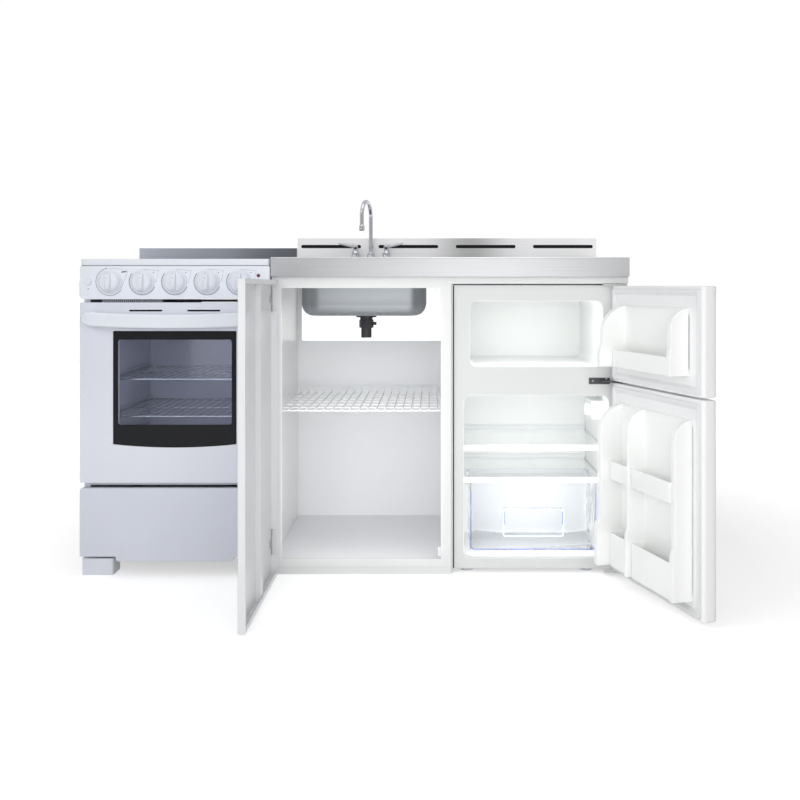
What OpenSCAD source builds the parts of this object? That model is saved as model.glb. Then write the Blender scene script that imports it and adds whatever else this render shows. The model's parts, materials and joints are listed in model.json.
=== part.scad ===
// Kitchenette: a sink cabinet and an under-counter fridge below one steel
// worktop, with a free-standing cooker beside them. Doors stand open.
// X runs to the right, Y to the back and Z up. The origin is on the floor,
// under the middle of the partition between the sink cabinet and the fridge.
// Millimetres.

/* [Kitchenette case] */
// From the left end of the case to the middle of the partition
sink_bay_w = 504; // [470:2:560]
// From the middle of the partition to the right end of the case
fridge_bay_w = 491; // [486:1:520]
// Depth of the case, face frame to back panel
case_d = 570; // [560:2:600]
// Height of the worktop surface above the floor
worktop_z = 886; // [880:1:910]
// Folded steel sheet of the case
sheet = 1.5; // [1:0.1:2]
// Width of the flanges folded round each side panel
flange_w = 14; // [12:1:18]
// Width of the stiles of the face frame
stile_w = 29; // [26:1:34]
// Depth of the face frame
frame_d = 16; // [12:1:20]
// Height of the bottom rail
bottom_rail_h = 44; // [36:1:60]
// Height of the top rail over the sink cabinet
top_rail_h = 32; // [28:1:40]
// Height of the low back panel; the pipes pass above it
back_h = 623; // [500:1:700]

/* [Worktop] */
// Height of the folded apron round the worktop
apron_h = 54; // [48:1:58]
// How far the worktop oversails the case at front and back
oversail = 20; // [18:1:26]
// Thickness of the steel of the worktop
top_t = 1.5; // [1:0.1:2]
// Radius of the folded front edge
edge_r = 5; // [3:0.5:8]
// Height of the backsplash above the worktop
splash_h = 78; // [60:1:110]
// Thickness of the backsplash box
splash_t = 22; // [16:1:30]
// Length of each vent slot in the backsplash
slot_l = 199; // [150:1:220]
// Height of each vent slot
slot_h = 11; // [8:1:16]
// Number of vent slots
slot_count = 4; // [3:1:4]
// From each end of the backsplash to the nearest slot
slot_margin = 12; // [10:1:40]

/* [Sink] */
// Outer width of the sink bowl
bowl_w = 366; // [330:1:380]
// Outer depth of the sink bowl, front to back
bowl_l = 340; // [300:1:360]
// Depth of the bowl below the worktop
bowl_h = 168; // [140:1:180]
// Radius of the upright corners of the bowl
bowl_corner = 60; // [50:1:80]
// Radius between the wall and the floor of the bowl
bowl_floor_r = 34; // [24:1:40]
// From the left end of the case to the middle of the bowl
bowl_x = 247; // [230:1:260]
// Radius of the drain opening
drain_r = 19; // [16:0.5:22]

/* [Tap] */
// Distance between the two lever handles, centre to centre
handle_pitch = 101.6; // [90:0.2:110]
// Outer radius of the spout pipe
spout_r = 6.5; // [5.5:0.1:7]
// Height of the top of the spout above the worktop
spout_h = 198; // [180:1:230]
// Radius of the bow of the spout
spout_bow = 48; // [40:1:60]
// Angle that the spout stands turned to the left
spout_turn = 14; // [0:1:20]
// Length of each lever
lever_l = 56; // [45:1:65]

/* [Wire shelf] */
// Height of the wire shelf above the floor
shelf_z = 456; // [400:1:500]
// Diameter of the shelf wires
shelf_wire = 4; // [3:0.5:5]
// Number of wires running front to back
shelf_wires = 20; // [14:1:22]
// Number of cross wires
shelf_cross = 7; // [5:1:9]

/* [Sink door] */
// Thickness of the folded steel door
door_t = 18; // [16:1:20]
// Gap between the closed door and the face frame
door_gap = 1; // [0.5:0.1:1.5]
// Width of the returned border inside the door
door_border = 12; // [10:1:18]
// Distance of the hinge line from the outer faces of the door
hinge_inset = 3.5; // [3.5:0.1:4]
// Height of each door hinge
hinge_h = 70; // [60:1:80]

/* [Fridge] */
// Width of the fridge case
fridge_w = 484; // [474:1:485]
// Depth of the fridge case
fridge_d = 500; // [480:1:520]
// Height of the top of the fridge case
fridge_top_z = 808; // [800:1:810]
// Height of the underside of the fridge case
fridge_foot_h = 12; // [12:0.5:14]
// Thickness of a fridge door shell
fdoor_t = 42; // [38:1:46]
// Thickness of the door gaskets
gasket_t = 7.7; // [7:0.1:7.8]
// Distance of the hinge line from the side of the fridge
fhinge_inset = 15; // [14:0.5:18]
// Height of the split between freezer and fridge doors
split_z = 539; // [520:1:560]
// Gap between the two doors
split_gap = 6; // [6:0.5:8]
// Angle at which both fridge doors stand open
fdoor_open = 106; // [90:1:108]
// Radius of the pins of the fridge hinges
fpin_r = 3; // [2.5:0.1:4]
// Thickness of the moulded liners
liner_t = 2; // [1.5:0.1:3]
// Height of the floor of the freezer compartment
freezer_z = 577; // [570:1:600]
// Height inside the freezer compartment
freezer_h = 188; // [170:1:195]
// Height of the floor of the fridge compartment
cooler_z = 40; // [36:1:60]
// Height inside the fridge compartment
cooler_h = 460; // [440:1:470]
// Height of the step over the compressor
step_h = 150; // [140:1:170]
// Depth of the step over the compressor
step_d = 150; // [130:1:160]
// Height of the upper glass shelf
glass_z = 343; // [320:1:380]
// Height of the shelf above the crisper
crisper_top_z = 250; // [240:1:270]

/* [Cooker] */
// Width of the cooker
range_w = 530; // [500:2:560]
// Height of the hob rim above the floor
hob_z = 881; // [870:1:886]
// Height of the control panel
panel_h = 93; // [84:1:100]
// Height of the rim of the hob
hob_rim_h = 19; // [16:1:24]
// Height of the oven door
oven_door_h = 500; // [480:1:510]
// Thickness of the oven door
oven_door_t = 28; // [26:1:30]
// Height of the stainless strip behind the hob
strip_h = 50; // [30:1:60]
// Height of the feet
range_foot_h = 47; // [40:1:52]
// Distance between the knobs, centre to centre
knob_pitch = 90; // [80:1:96]
// Radius of the knobs
knob_r = 34; // [28:1:38]
// How far the knobs stand out
knob_h = 30; // [24:1:34]
// Radius of the switch shafts
shaft_r = 3; // [2.5:0.1:4]
// Width of the oven window glass
window_w = 342; // [300:1:360]
// Height of the oven window glass
window_h = 314; // [280:1:330]
// Half the length of the oven door handle
handle_half = 248; // [220:1:248]
// Radius of the larger hotplate coils, to the middle of the outer turn
coil_big = 90; // [84:1:94]
// Radius of the smaller hotplate coils, to the middle of the outer turn
coil_small = 68; // [60:1:76]
// Diameter of the tube of the hotplate coils
coil_tube = 7; // [6:0.5:8]
// Pitch of the turns of the hotplate coils
coil_pitch = 14; // [11:0.5:15]
// Height of the drawer front
drawer_h = 190; // [170:1:200]

/* [Hidden] */
$fn = 48;
FAR = 2000;             // longer than anything that is cut
FIT = 0.05;             // running clearance round a pin, on the radius
SEAT = 0.3;             // gap between pieces that are only set together
EPS = 0.01;

// ---- derived planes of the kitchenette
case_x0 = -sink_bay_w;
case_x1 = fridge_bay_w;
case_y0 = -case_d / 2;          // front of the face frame
case_y1 = case_d / 2;           // back of the case
top_y0 = case_y0 - oversail;
top_y1 = case_y1 + oversail;
apron_z = worktop_z - apron_h;
case_z1 = apron_z;              // the apron stands on the side panels
part_x1 = 2;                    // right face of the partition
part_x0 = part_x1 - flange_w;   // its flanges end here
inner_x0 = case_x0 + sheet;     // inside faces of the sink cabinet
inner_x1 = part_x1 - sheet;
inner_y0 = case_y0 + frame_d;
inner_y1 = case_y1 - sheet;
stile_x1 = -3;                  // right edge of the right stile
opening_x0 = case_x0 + stile_w - 1;
opening_x1 = stile_x1 - stile_w;
opening_z1 = case_z1 - top_rail_h;
bay_rail_h = 20;                // rail over the fridge
floor_z = bottom_rail_h - 2;    // cabinet floor, top face

// ---- sink and tap
bowl_cx = case_x0 + bowl_x;
bowl_cy = -5;
bowl_z0 = worktop_z - bowl_h;
tap_cx = bowl_cx;
tap_cy = top_y1 - splash_t - 55;
shank_r = 10;
shank_l = 52;
neck_l = 6;                     // plain neck of a shank, through the worktop

// ---- sink door, closed faces and hinge line
door_y0 = case_y0 - door_gap - door_t;
hinge_x = case_x0 + hinge_inset;
hinge_y = door_y0 + hinge_inset;
door_w = stile_x1 - case_x0;
door_z0 = 6;
door_z1 = case_z1 - 9;
door_corner = 3;
hinge_zs = [60, door_z1 - 18 - hinge_h];
hinge_pin_r = 1.2;
hinge_barrel_r = 2.3;

// ---- fridge
fr_x0 = part_x1 + SEAT;
fr_x1 = fr_x0 + fridge_w;
fr_y0 = top_y0 + 43;            // front face of the fridge case
fr_y1 = fr_y0 + fridge_d;
fr_z0 = fridge_foot_h;
fr_z1 = fridge_top_z;
fr_px = fr_x1 - fhinge_inset;   // hinge line of both doors
fr_py = fr_y0 - 30;
fdoor_in = fr_y0 - gasket_t - 0.3;  // inner face of a closed door shell
fdoor_out = fdoor_in - fdoor_t;
freezer_x0 = fr_x0 + 46;
freezer_x1 = fr_x1 - 60;
cooler_x0 = fr_x0 + 29;
cooler_x1 = fr_x1 - 44;
liner_back = fr_y1 - 45;        // back wall of both liners
freezer_z1 = freezer_z + freezer_h;
cooler_z1 = cooler_z + cooler_h;
freezer_door_z0 = split_z + split_gap / 2;
freezer_door_z1 = fr_z1 - 1.5;
cooler_door_z0 = fr_z0 + 1.5;
cooler_door_z1 = split_z - split_gap / 2;
rib_hinge = 82;                      // depth of the moulded ribs of a door
rib_mid = 60;
rib_free = 54;
shelf_front = fdoor_in + rib_hinge + 6;   // shelves stop behind the ribs
crisper_side = 20;                   // keeps the crisper out of the liner's round corners
crisper_lo = [cooler_x0 + liner_t + crisper_side, shelf_front + 6, cooler_z + liner_t + SEAT];
crisper_hi = [cooler_x1 - liner_t - crisper_side, liner_back - step_d - 8, crisper_top_z - 13];

// ---- cooker
cooker_gap = 0.5;                    // between cooker and kitchenette
rx = case_x0 - cooker_gap - range_w / 2;   // middle of the cooker
rg_y0 = door_y0 + 1;                 // front of panel, door and drawer
rg_y1 = top_y1;
panel_z0 = hob_z - hob_rim_h - panel_h;
panel_z1 = hob_z - hob_rim_h;
oven_z1 = panel_z0 - 9;
oven_z0 = oven_z1 - oven_door_h;
front_y = rg_y0 + oven_door_t + 4;   // front of the oven frame
sides_y0 = front_y + 2;              // the control panel ends at the sides
oven_px_y = rg_y0 + 20;              // hinge line of the oven door
oven_px_z = oven_z0 + 8;
drawer_z1 = oven_px_z - 23;
drawer_z0 = drawer_z1 - drawer_h;
rail_z = drawer_z0 + 95;             // top of the drawer's rails
knob_z = (panel_z0 + panel_z1) / 2 + 2;
shell_half = range_w / 2 - 3;        // outer face of the side panels
side_flange = 18;
cavity_half = 205;
cavity_z0 = oven_z0 + 50;
cavity_z1 = oven_z1 - 50;
cavity_y1 = 210;
pane_z0 = oven_z0 + 107;             // bottom corners of the window glass
pane_z1 = pane_z0 + window_h;
rack_zs = [cavity_z0 + 130, cavity_z0 + 235];
coil_z = hob_z - 4 - coil_tube / 2;
hotplate_x = range_w / 2 - 140;      // hotplates, to the side of the middle
hotplates = [
    [-hotplate_x, -165, coil_big], [hotplate_x, -165, coil_small],
    [-hotplate_x, 95, coil_small], [hotplate_x, 95, coil_big]
];

// ---------------------------------------------------------------- helpers

// Box between two opposite corners.
module block(lo, hi) {
    translate(lo) cube(hi - lo);
}

// Rectangle with round corners, centred.
module round_rect(w, h, r) {
    square([w - 2 * r, h], center = true);
    square([w, h - 2 * r], center = true);
    for (sx = [-1, 1], sy = [-1, 1])
        translate([sx * (w / 2 - r), sy * (h / 2 - r)]) circle(r);
}

// Upright plate that faces the front, round corners seen from the front.
module front_plate(x0, x1, z0, z1, r, y0, y1) {
    translate([(x0 + x1) / 2, y1, (z0 + z1) / 2]) rotate([90, 0, 0])
        linear_extrude(y1 - y0) round_rect(x1 - x0, z1 - z0, r);
}

// Lying plate, round corners seen from above.
module plan_plate(x0, x1, y0, y1, r, z0, z1) {
    translate([(x0 + x1) / 2, (y0 + y1) / 2, z0])
        linear_extrude(z1 - z0) round_rect(x1 - x0, y1 - y0, r);
}

// A profile in the Y-Z plane, drawn as [y, z], run along X.
module along_x(x0, x1) {
    translate([x0, 0, 0]) rotate([90, 0, 90]) linear_extrude(x1 - x0) children();
}

// Straight round bar between two points.
module bar(a, b, r, sides = 16) {
    d = b - a;
    len = norm(d);
    translate(a) rotate([0, acos(d.z / len), atan2(d.y, d.x)])
        cylinder(h = len, r = r, $fn = sides);
}

// Cylinder along X, from x0 to x1.
module bar_x(x0, x1, y, z, r, sides = 48) {
    translate([x0, y, z]) rotate([0, 90, 0]) cylinder(h = x1 - x0, r = r, $fn = sides);
}

// Cylinder along Y, from y0 to y1.
module bar_y(x, y0, y1, z, r, sides = 48) {
    translate([x, y1, z]) rotate([90, 0, 0]) cylinder(h = y1 - y0, r = r, $fn = sides);
}

// Arc of round tube in the plane Z = 0, from angle a0 over angle da.
module tube_arc(ring, r, a0, da) {
    rotate([0, 0, a0]) rotate_extrude(angle = da) translate([ring, 0]) circle(r, $fn = 24);
}

// Turn about an upright line through (x, y).
module turn_about(x, y, angle) {
    translate([x, y, 0]) rotate([0, 0, angle]) translate([-x, -y, 0]) children();
}

// Drawn closed, shown open by a right angle.
module sink_door_pose() {
    turn_about(hinge_x, hinge_y, -90) children();
}

module fridge_door_pose() {
    turn_about(fr_px, fr_py, fdoor_open) children();
}

// ---------------------------------------------------------------- case

// Folded side panel: a skin at x_skin with flanges towards x_in.
module folded_panel(x_skin, x_in, z1) {
    lo = min(x_skin, x_in);
    hi = max(x_skin, x_in);
    inside = x_in > x_skin ? [lo + sheet, hi + 1] : [lo - 1, hi - sheet];
    difference() {
        block([lo, inner_y0, 0], [hi, case_y1, z1]);
        block([inside[0], inner_y0 + sheet, sheet],
              [inside[1], inner_y1, z1 - sheet]);
    }
}

// The left panel is folded; the right one is flat beside the fridge and
// has a flange on top only.
module side_panels() {
    color("white") {
        folded_panel(case_x0, case_x0 + flange_w, case_z1);
        union() {
            block([case_x1 - sheet, inner_y0, 0], [case_x1, case_y1, case_z1]);
            block([case_x1 - flange_w, inner_y0, case_z1 - sheet],
                  [case_x1 - sheet, case_y1, case_z1]);
        }
    }
}

module partition_panel() {
    color("white") folded_panel(part_x1, part_x0, case_z1);
}

// Floor tray with lips turned down at its front and back.
module cabinet_floor() {
    lip = 18;
    color("gainsboro") difference() {
        block([inner_x0, inner_y0 + sheet, floor_z - lip],
              [inner_x1, inner_y1 - sheet, floor_z]);
        block([inner_x0 - 1, inner_y0 + 2 * sheet, floor_z - lip - 1],
              [inner_x1 + 1, inner_y1 - 2 * sheet, floor_z - sheet]);
    }
}

// Low back panel in front of the side panels' rear flanges.
module cabinet_back() {
    color("white") block([inner_x0, inner_y1 - sheet, sheet],
                         [inner_x1, inner_y1, back_h]);
}

// Frame round the sink cabinet's opening, with a rail on over the fridge
// and a ledge that carries the worktop.
module face_frame() {
    kick = 5;
    color("white") union() {
        difference() {
            block([case_x0, case_y0, 0], [stile_x1, inner_y0, case_z1]);
            block([opening_x0, case_y0 - 1, bottom_rail_h],
                  [opening_x1, inner_y0 + 1, opening_z1]);
            block([case_x0 - 1, case_y0 - 1, -1],
                  [stile_x1 + 1, case_y0 + kick, bottom_rail_h / 2]);
        }
        block([stile_x1, case_y0, case_z1 - bay_rail_h], [case_x1, inner_y0, case_z1]);
        block([case_x0 + flange_w, case_y0, case_z1],
              [case_x1 - flange_w, inner_y0, worktop_z - top_t]);
    }
}

// ---------------------------------------------------------------- worktop

// Outline of the worktop's section, front edge rounded.
module top_section(inset) {
    y0 = top_y0 + inset;
    z1 = worktop_z - inset;
    r = max(edge_r - inset, 0.5);
    difference() {
        translate([y0, apron_z - (inset > 0 ? 5 : 0)])
            square([top_y1 - y0 - inset, z1 - apron_z + (inset > 0 ? 5 : 0)]);
        difference() {
            translate([y0 - 1, z1 - r]) square([r + 1, r + 1]);
            translate([y0 + r, z1 - r]) circle(r);
        }
    }
}

// Folded steel top with its apron, cut out for the bowl and the tap.
module worktop() {
    gap = SEAT;
    color("silver") difference() {
        along_x(case_x0, case_x1) top_section(0);
        along_x(case_x0 + top_t, case_x1 - top_t) top_section(top_t);
        plan_plate(bowl_cx - bowl_w / 2 + 4, bowl_cx + bowl_w / 2 - 4,
                   bowl_cy - bowl_l / 2 + 4, bowl_cy + bowl_l / 2 - 4,
                   bowl_corner - 4, worktop_z - 10, worktop_z + 1);
        for (s = [-1, 1])
            translate([tap_cx + s * handle_pitch / 2, tap_cy, worktop_z - 10])
                cylinder(h = 20, r = shank_r + gap);
    }
}

// Hollow splash along the back with its vent slots through the front.
module backsplash() {
    pitch = (case_x1 - case_x0 - 2 * slot_margin - slot_l) / (slot_count - 1);
    slot_z = worktop_z + splash_h * 0.645;
    y0 = top_y1 - splash_t;
    z1 = worktop_z + splash_h;
    color("white") difference() {
        block([case_x0, y0, worktop_z], [case_x1, top_y1, z1]);
        block([case_x0 + top_t, y0 + top_t, worktop_z - 1],
              [case_x1 - top_t, top_y1 - top_t, z1 - top_t]);
        for (k = [0 : slot_count - 1]) {
            x = case_x0 + slot_margin + pitch * k;
            front_plate(x, x + slot_l, slot_z - slot_h / 2, slot_z + slot_h / 2,
                        slot_h / 2 - EPS, y0 - 1, y0 + top_t + 1);
        }
    }
}

// ---------------------------------------------------------------- sink

// Section of the bowl's wall for the corner centre at radius 0: it ends at
// the corner's radius, with a rim on top and a round foot.
module bowl_wall() {
    t = top_t;
    r = bowl_floor_r;
    z1 = worktop_z - t;
    z0 = bowl_z0;
    difference() {
        union() {
            translate([bowl_corner - t, z0 + r]) square([t, z1 - z0 - r]);
            translate([bowl_corner - t, z1 - t]) square([t + 10, t]);
            intersection() {
                difference() {
                    translate([bowl_corner - r, z0 + r]) circle(r);
                    translate([bowl_corner - r, z0 + r]) circle(r - t);
                }
                translate([bowl_corner - r, z0]) square(r);
            }
            translate([0, z0]) square([bowl_corner - r + EPS, t]);
        }
        translate([-FAR, -FAR]) square([FAR, 2 * FAR]);
    }
}

// Deep-drawn bowl: four turned corners, four straight walls and a floor.
module sink_bowl() {
    hx = bowl_w / 2 - bowl_corner;
    hy = bowl_l / 2 - bowl_corner;
    z0 = bowl_z0;
    color("silver") difference() {
        translate([bowl_cx, bowl_cy, 0]) union() {
            for (k = [0 : 3])
                translate([(k == 0 || k == 3 ? hx : -hx), (k < 2 ? hy : -hy), 0])
                    rotate([0, 0, 90 * k]) rotate_extrude(angle = 90) bowl_wall();
            for (s = [0, 1]) rotate([0, 0, 180 * s]) {
                translate([hx, hy, 0]) rotate([90, 0, 0])
                    linear_extrude(2 * hy) bowl_wall();
                translate([-hx, hy, 0]) rotate([90, 0, 90])
                    linear_extrude(2 * hx) bowl_wall();
            }
            block([-hx, -hy, z0], [hx, hy, z0 + top_t]);
        }
        translate([bowl_cx, bowl_cy, z0 - 5]) cylinder(h = 20, r = drain_r);
    }
}

// Turned strainer cup with a flange on the bowl's floor.
module sink_strainer() {
    z = bowl_z0;
    cup_r = drain_r - 1;
    rim_z = z + top_t;
    hole = 2.5;
    color("gray") difference() {
        translate([bowl_cx, bowl_cy, 0]) rotate_extrude() polygon([
            [0, z - 22], [cup_r, z - 22], [cup_r, rim_z], [drain_r + 7, rim_z],
            [drain_r + 7, rim_z + 1], [drain_r + 4, rim_z + 2],
            [cup_r - 2, rim_z + 1], [cup_r - 2, z - 19], [0, z - 19]]);
        for (a = [0 : 60 : 300])
            translate([bowl_cx + 9 * cos(a), bowl_cy + 9 * sin(a), z - 25])
                cylinder(h = 10, r = hole);
        translate([bowl_cx, bowl_cy, z - 25]) cylinder(h = 10, r = hole);
    }
}

// Black tail: lock nut, body, lug and the open end that takes the trap.
module drain_tailpiece() {
    z = bowl_z0;
    tail_r = 16;
    lug_x = drain_r + 12;
    color("dimgray") difference() {
        translate([bowl_cx, bowl_cy, 0]) union() {
            translate([0, 0, z - 8]) cylinder(h = 8, r = drain_r + 12);
            translate([0, 0, z - 15]) cylinder(h = 7, r = drain_r);
            translate([0, 0, z - 40]) cylinder(h = 25, r = drain_r + 3, $fn = 8);
            translate([0, 0, z - 70]) cylinder(h = 30, r = tail_r);
            bar([0, 0, z - 27], [lug_x, 0, z - 27], 5);
        }
        translate([bowl_cx, bowl_cy, z - 22.3]) cylinder(h = 30, r = drain_r - 1 + FIT);
        translate([bowl_cx, bowl_cy, z - 80]) cylinder(h = 60, r = tail_r - 3);
    }
}

// ---------------------------------------------------------------- tap

bell_h = 20;
seat_h = 4;              // height of the deck plate
bell_z = worktop_z + seat_h + bell_h;

// Deck plate, three bells, stems for the levers and threaded shanks.
module tap_base() {
    color("lightgray") difference() {
        union() {
            plan_plate(tap_cx - handle_pitch / 2 - 26, tap_cx + handle_pitch / 2 + 26,
                       tap_cy - 25, tap_cy + 25, 24.5, worktop_z, worktop_z + seat_h);
            for (s = [-1, 0, 1]) translate([tap_cx + s * handle_pitch / 2, tap_cy, 0]) {
                translate([0, 0, worktop_z + seat_h]) rotate_extrude() polygon(concat(
                    [[0, 0], [21, 0]],
                    [for (a = [0 : 15 : 90]) [21 - 9 * sin(a), 4 + (bell_h - 4) * (1 - cos(a))]],
                    [[0, bell_h]]));
            }
            for (s = [-1, 1]) translate([tap_cx + s * handle_pitch / 2, tap_cy, 0]) {
                translate([0, 0, worktop_z - shank_l]) cylinder(h = shank_l - neck_l, r = shank_r);
                translate([0, 0, worktop_z - neck_l - EPS])
                    cylinder(h = neck_l + 2 * EPS, r = shank_r - 0.6);
                translate([0, 0, bell_z]) cylinder(h = 12, r = 5);
            }
        }
        translate([tap_cx, tap_cy, bell_z - 14]) cylinder(h = 20, r = spout_r + FIT);
    }
}

// Gooseneck: upright, bow and drop, turned about the middle bell.
module tap_spout() {
    z_bow = worktop_z + spout_h - spout_r - spout_bow;
    drop = 34;
    color("lightgray") turn_about(tap_cx, tap_cy, -spout_turn)
        translate([tap_cx, tap_cy, 0]) union() {
            translate([0, 0, bell_z - 14 + SEAT]) cylinder(h = z_bow - bell_z + 14 - SEAT, r = spout_r);
            translate([0, 0, bell_z + 0.3]) cylinder(h = 5, r = spout_r + 3.5);
            translate([0, -spout_bow, z_bow]) rotate([90, 0, 90])
                tube_arc(spout_bow, spout_r, 0, 180);
            translate([0, -2 * spout_bow, z_bow - drop]) cylinder(h = drop, r = spout_r);
            translate([0, -2 * spout_bow, z_bow - drop - 14]) difference() {
                cylinder(h = 20, r = spout_r + 2.5);
                translate([0, 0, -1]) cylinder(h = 8, r = spout_r);
            }
        }
}

// Lever: bored hub with a neck and a flattened blade that rises outward.
module tap_lever(side) {
    hub_h = 30;
    rise = 13;
    x = tap_cx + side * handle_pitch / 2;
    color("lightgray") translate([x, tap_cy, bell_z + 0.3]) mirror([side < 0 ? 1 : 0, 0, 0])
        difference() {
            union() {
                rotate_extrude() polygon(concat(
                    [[0, 0], [12, 0], [12, 3]],
                    [for (a = [0 : 15 : 90]) [7 + 5 * (1 - sin(a)), 3 + 14 * sin(a / 2)]],
                    [for (a = [0 : 15 : 90]) [9 * cos(a), hub_h - 9 + 9 * sin(a)]]));
                translate([0, 0, hub_h - 8]) rotate([0, -rise, 0]) hull() {
                    translate([4, 0, 0]) sphere(5, $fn = 24);
                    translate([lever_l - 12, 0, -1]) scale([1, 1, 0.45]) sphere(8, $fn = 24);
                }
            }
            translate([0, 0, -1]) cylinder(h = 13.2, r = 5 + FIT);
        }
}

module tap_lever_left() {
    tap_lever(-1);
}

module tap_lever_right() {
    tap_lever(1);
}

// ---------------------------------------------------------------- wire shelf

shelf_x0 = case_x0 + flange_w + 2;
shelf_x1 = part_x0 - 2;
shelf_y0 = inner_y0 + 24;
shelf_y1 = inner_y1 - 30;
shelf_lip = 22;

// Welded wire shelf: long wires turned up at the back, over cross wires.
module wire_shelf() {
    w = shelf_wire / 2;
    pitch = (shelf_x1 - shelf_x0 - 2 * w) / (shelf_wires - 1);
    color("white") union() {
        for (k = [0 : shelf_wires - 1]) {
            x = shelf_x0 + w + pitch * k;
            bar([x, shelf_y0, shelf_z], [x, shelf_y1, shelf_z], w, 8);
            bar([x, shelf_y1 - w, shelf_z - w / 2], [x, shelf_y1 - w, shelf_z + shelf_lip], w, 8);
        }
        for (k = [0 : shelf_cross - 1]) {
            y = shelf_y0 + w + (shelf_y1 - shelf_y0 - 40) * k / (shelf_cross - 1);
            bar([shelf_x0, y, shelf_z - shelf_wire * 0.8],
                [shelf_x1, y, shelf_z - shelf_wire * 0.8], w, 8);
        }
        bar([shelf_x0, shelf_y1 - w * 2.6, shelf_z + shelf_lip - w],
            [shelf_x1, shelf_y1 - w * 2.6, shelf_z + shelf_lip - w], w, 8);
    }
}

// Four clips on the cabinet's sides that carry the shelf, the magnet under
// the top rail and the buffer at the foot of the right stile.
module cabinet_fittings() {
    z1 = shelf_z - shelf_wire * 0.8 - shelf_wire / 2;
    arm = 14;
    color("dimgray") {
        block([opening_x1 - 34, case_y0 + 2, opening_z1 - 12],
              [opening_x1 - 12, case_y0 + frame_d, opening_z1]);
        block([opening_x1 - 8, case_y0 + 1, bottom_rail_h + 8],
              [opening_x1, case_y0 + frame_d - 4, bottom_rail_h + 34]);
    }
    color("white") for (y = [shelf_y0 + 6, shelf_y1 - 60]) {
        block([inner_x0, y, z1 - 12], [inner_x0 + 2, y + 20, z1]);
        block([inner_x0, y, z1 - 2], [inner_x0 + flange_w + arm, y + 20, z1]);
        block([inner_x1 - 2, y, z1 - 12], [inner_x1, y + 20, z1]);
        block([part_x0 - arm, y, z1 - 2], [inner_x1, y + 20, z1]);
    }
}

// ---------------------------------------------------------------- sink door

// Folded door pan, hollow towards the cabinet, with a returned border.
module sink_door() {
    t = 1;
    x0 = case_x0;
    x1 = case_x0 + door_w;
    y1 = door_y0 + door_t;
    color("white") sink_door_pose() difference() {
        plan_plate(x0, x1, door_y0, y1 + door_corner, door_corner, door_z0, door_z1);
        block([x0 - 1, y1, door_z0 - 1], [x1 + 1, y1 + 10, door_z1 + 1]);
        block([x0 + t, door_y0 + t, door_z0 + t], [x1 - t, y1 - t, door_z1 - t]);
        block([x0 + t, y1 - t - 1, door_z0 + door_border],
              [x1 - door_border, y1 + 1, door_z1 - door_border]);
        for (z = hinge_zs) block([x0 - 1, hinge_y - 1.6, z - 1], [x0 + 4, y1 + 1, z + hinge_h + 1]);
        front_plate(pull_x0, pull_x1, pull_z0, pull_z1, 14, door_y0 - 1, door_y0 + 3);
    }
}

// Upright channel welded inside the door.
module door_stiffener() {
    x = case_x0 + door_w * 0.46;
    depth = door_t - 4;
    color("white") sink_door_pose() difference() {
        block([x, door_y0 + 1, door_z0 + 1], [x + 34, door_y0 + 1 + depth, door_z1 - 1]);
        block([x + 1, door_y0, door_z0], [x + 33, door_y0 + depth, door_z1]);
    }
}

pull_x1 = case_x0 + door_w - 22;
pull_x0 = pull_x1 - 38;
pull_z0 = 527;
pull_z1 = pull_z0 + 138;

// Moulded recessed pull: a bezel outside and a pocket inside the pan.
module door_pull() {
    color("whitesmoke") sink_door_pose() difference() {
        union() {
            front_plate(pull_x0 - 4, pull_x1 + 4, pull_z0 - 4, pull_z1 + 4, 18,
                        door_y0 - 1.5, door_y0 - 0.05);
            front_plate(pull_x0 + 0.2, pull_x1 - 0.2, pull_z0 + 0.2, pull_z1 - 0.2, 13.8,
                        door_y0 - 1, door_y0 + 14);
        }
        front_plate(pull_x0 + 2, pull_x1 - 2, pull_z0 + 2, pull_z1 - 2, 12,
                    door_y0 - 2, door_y0 + 12.5);
    }
}

// One third of a hinge's height is a knuckle.
function knuckle(k) = hinge_h * k / 3;

// Hinge leaves on the door, each with the middle knuckle.
module door_hinge_knuckles() {
    color("silver") sink_door_pose() for (z = hinge_zs) {
        z0 = z + knuckle(1) + 0.4;
        z1 = z + knuckle(2) - 0.4;
        difference() {
            union() {
                translate([hinge_x, hinge_y, z0]) cylinder(h = z1 - z0, r = hinge_barrel_r);
                block([hinge_x, door_y0 + 1.05, z0], [hinge_x + 30, door_y0 + 2.1, z1]);
            }
            translate([hinge_x, hinge_y, z0 - 1])
                cylinder(h = z1 - z0 + 2, r = hinge_pin_r + FIT);
        }
    }
}

// Hinge leaves on the cabinet, with pins and the outer knuckles.
module cabinet_hinges() {
    leaf = 0.7;
    color("silver") for (z = hinge_zs) union() {
        translate([hinge_x, hinge_y, z]) cylinder(h = hinge_h, r = hinge_pin_r);
        for (k = [0, 2]) {
            z0 = z + knuckle(k);
            z1 = z + knuckle(k + 1);
            translate([hinge_x, hinge_y, z0]) cylinder(h = z1 - z0, r = hinge_barrel_r);
            block([hinge_x - leaf, hinge_y, z0], [hinge_x + leaf, case_y0, z1]);
        }
    }
}

// ---------------------------------------------------------------- cooker

// Mirrors what it is given about the middle plane of the cooker.
module both_sides() {
    for (s = [0, 1]) translate([rx, 0, 0]) mirror([s, 0, 0]) children();
}

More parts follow.
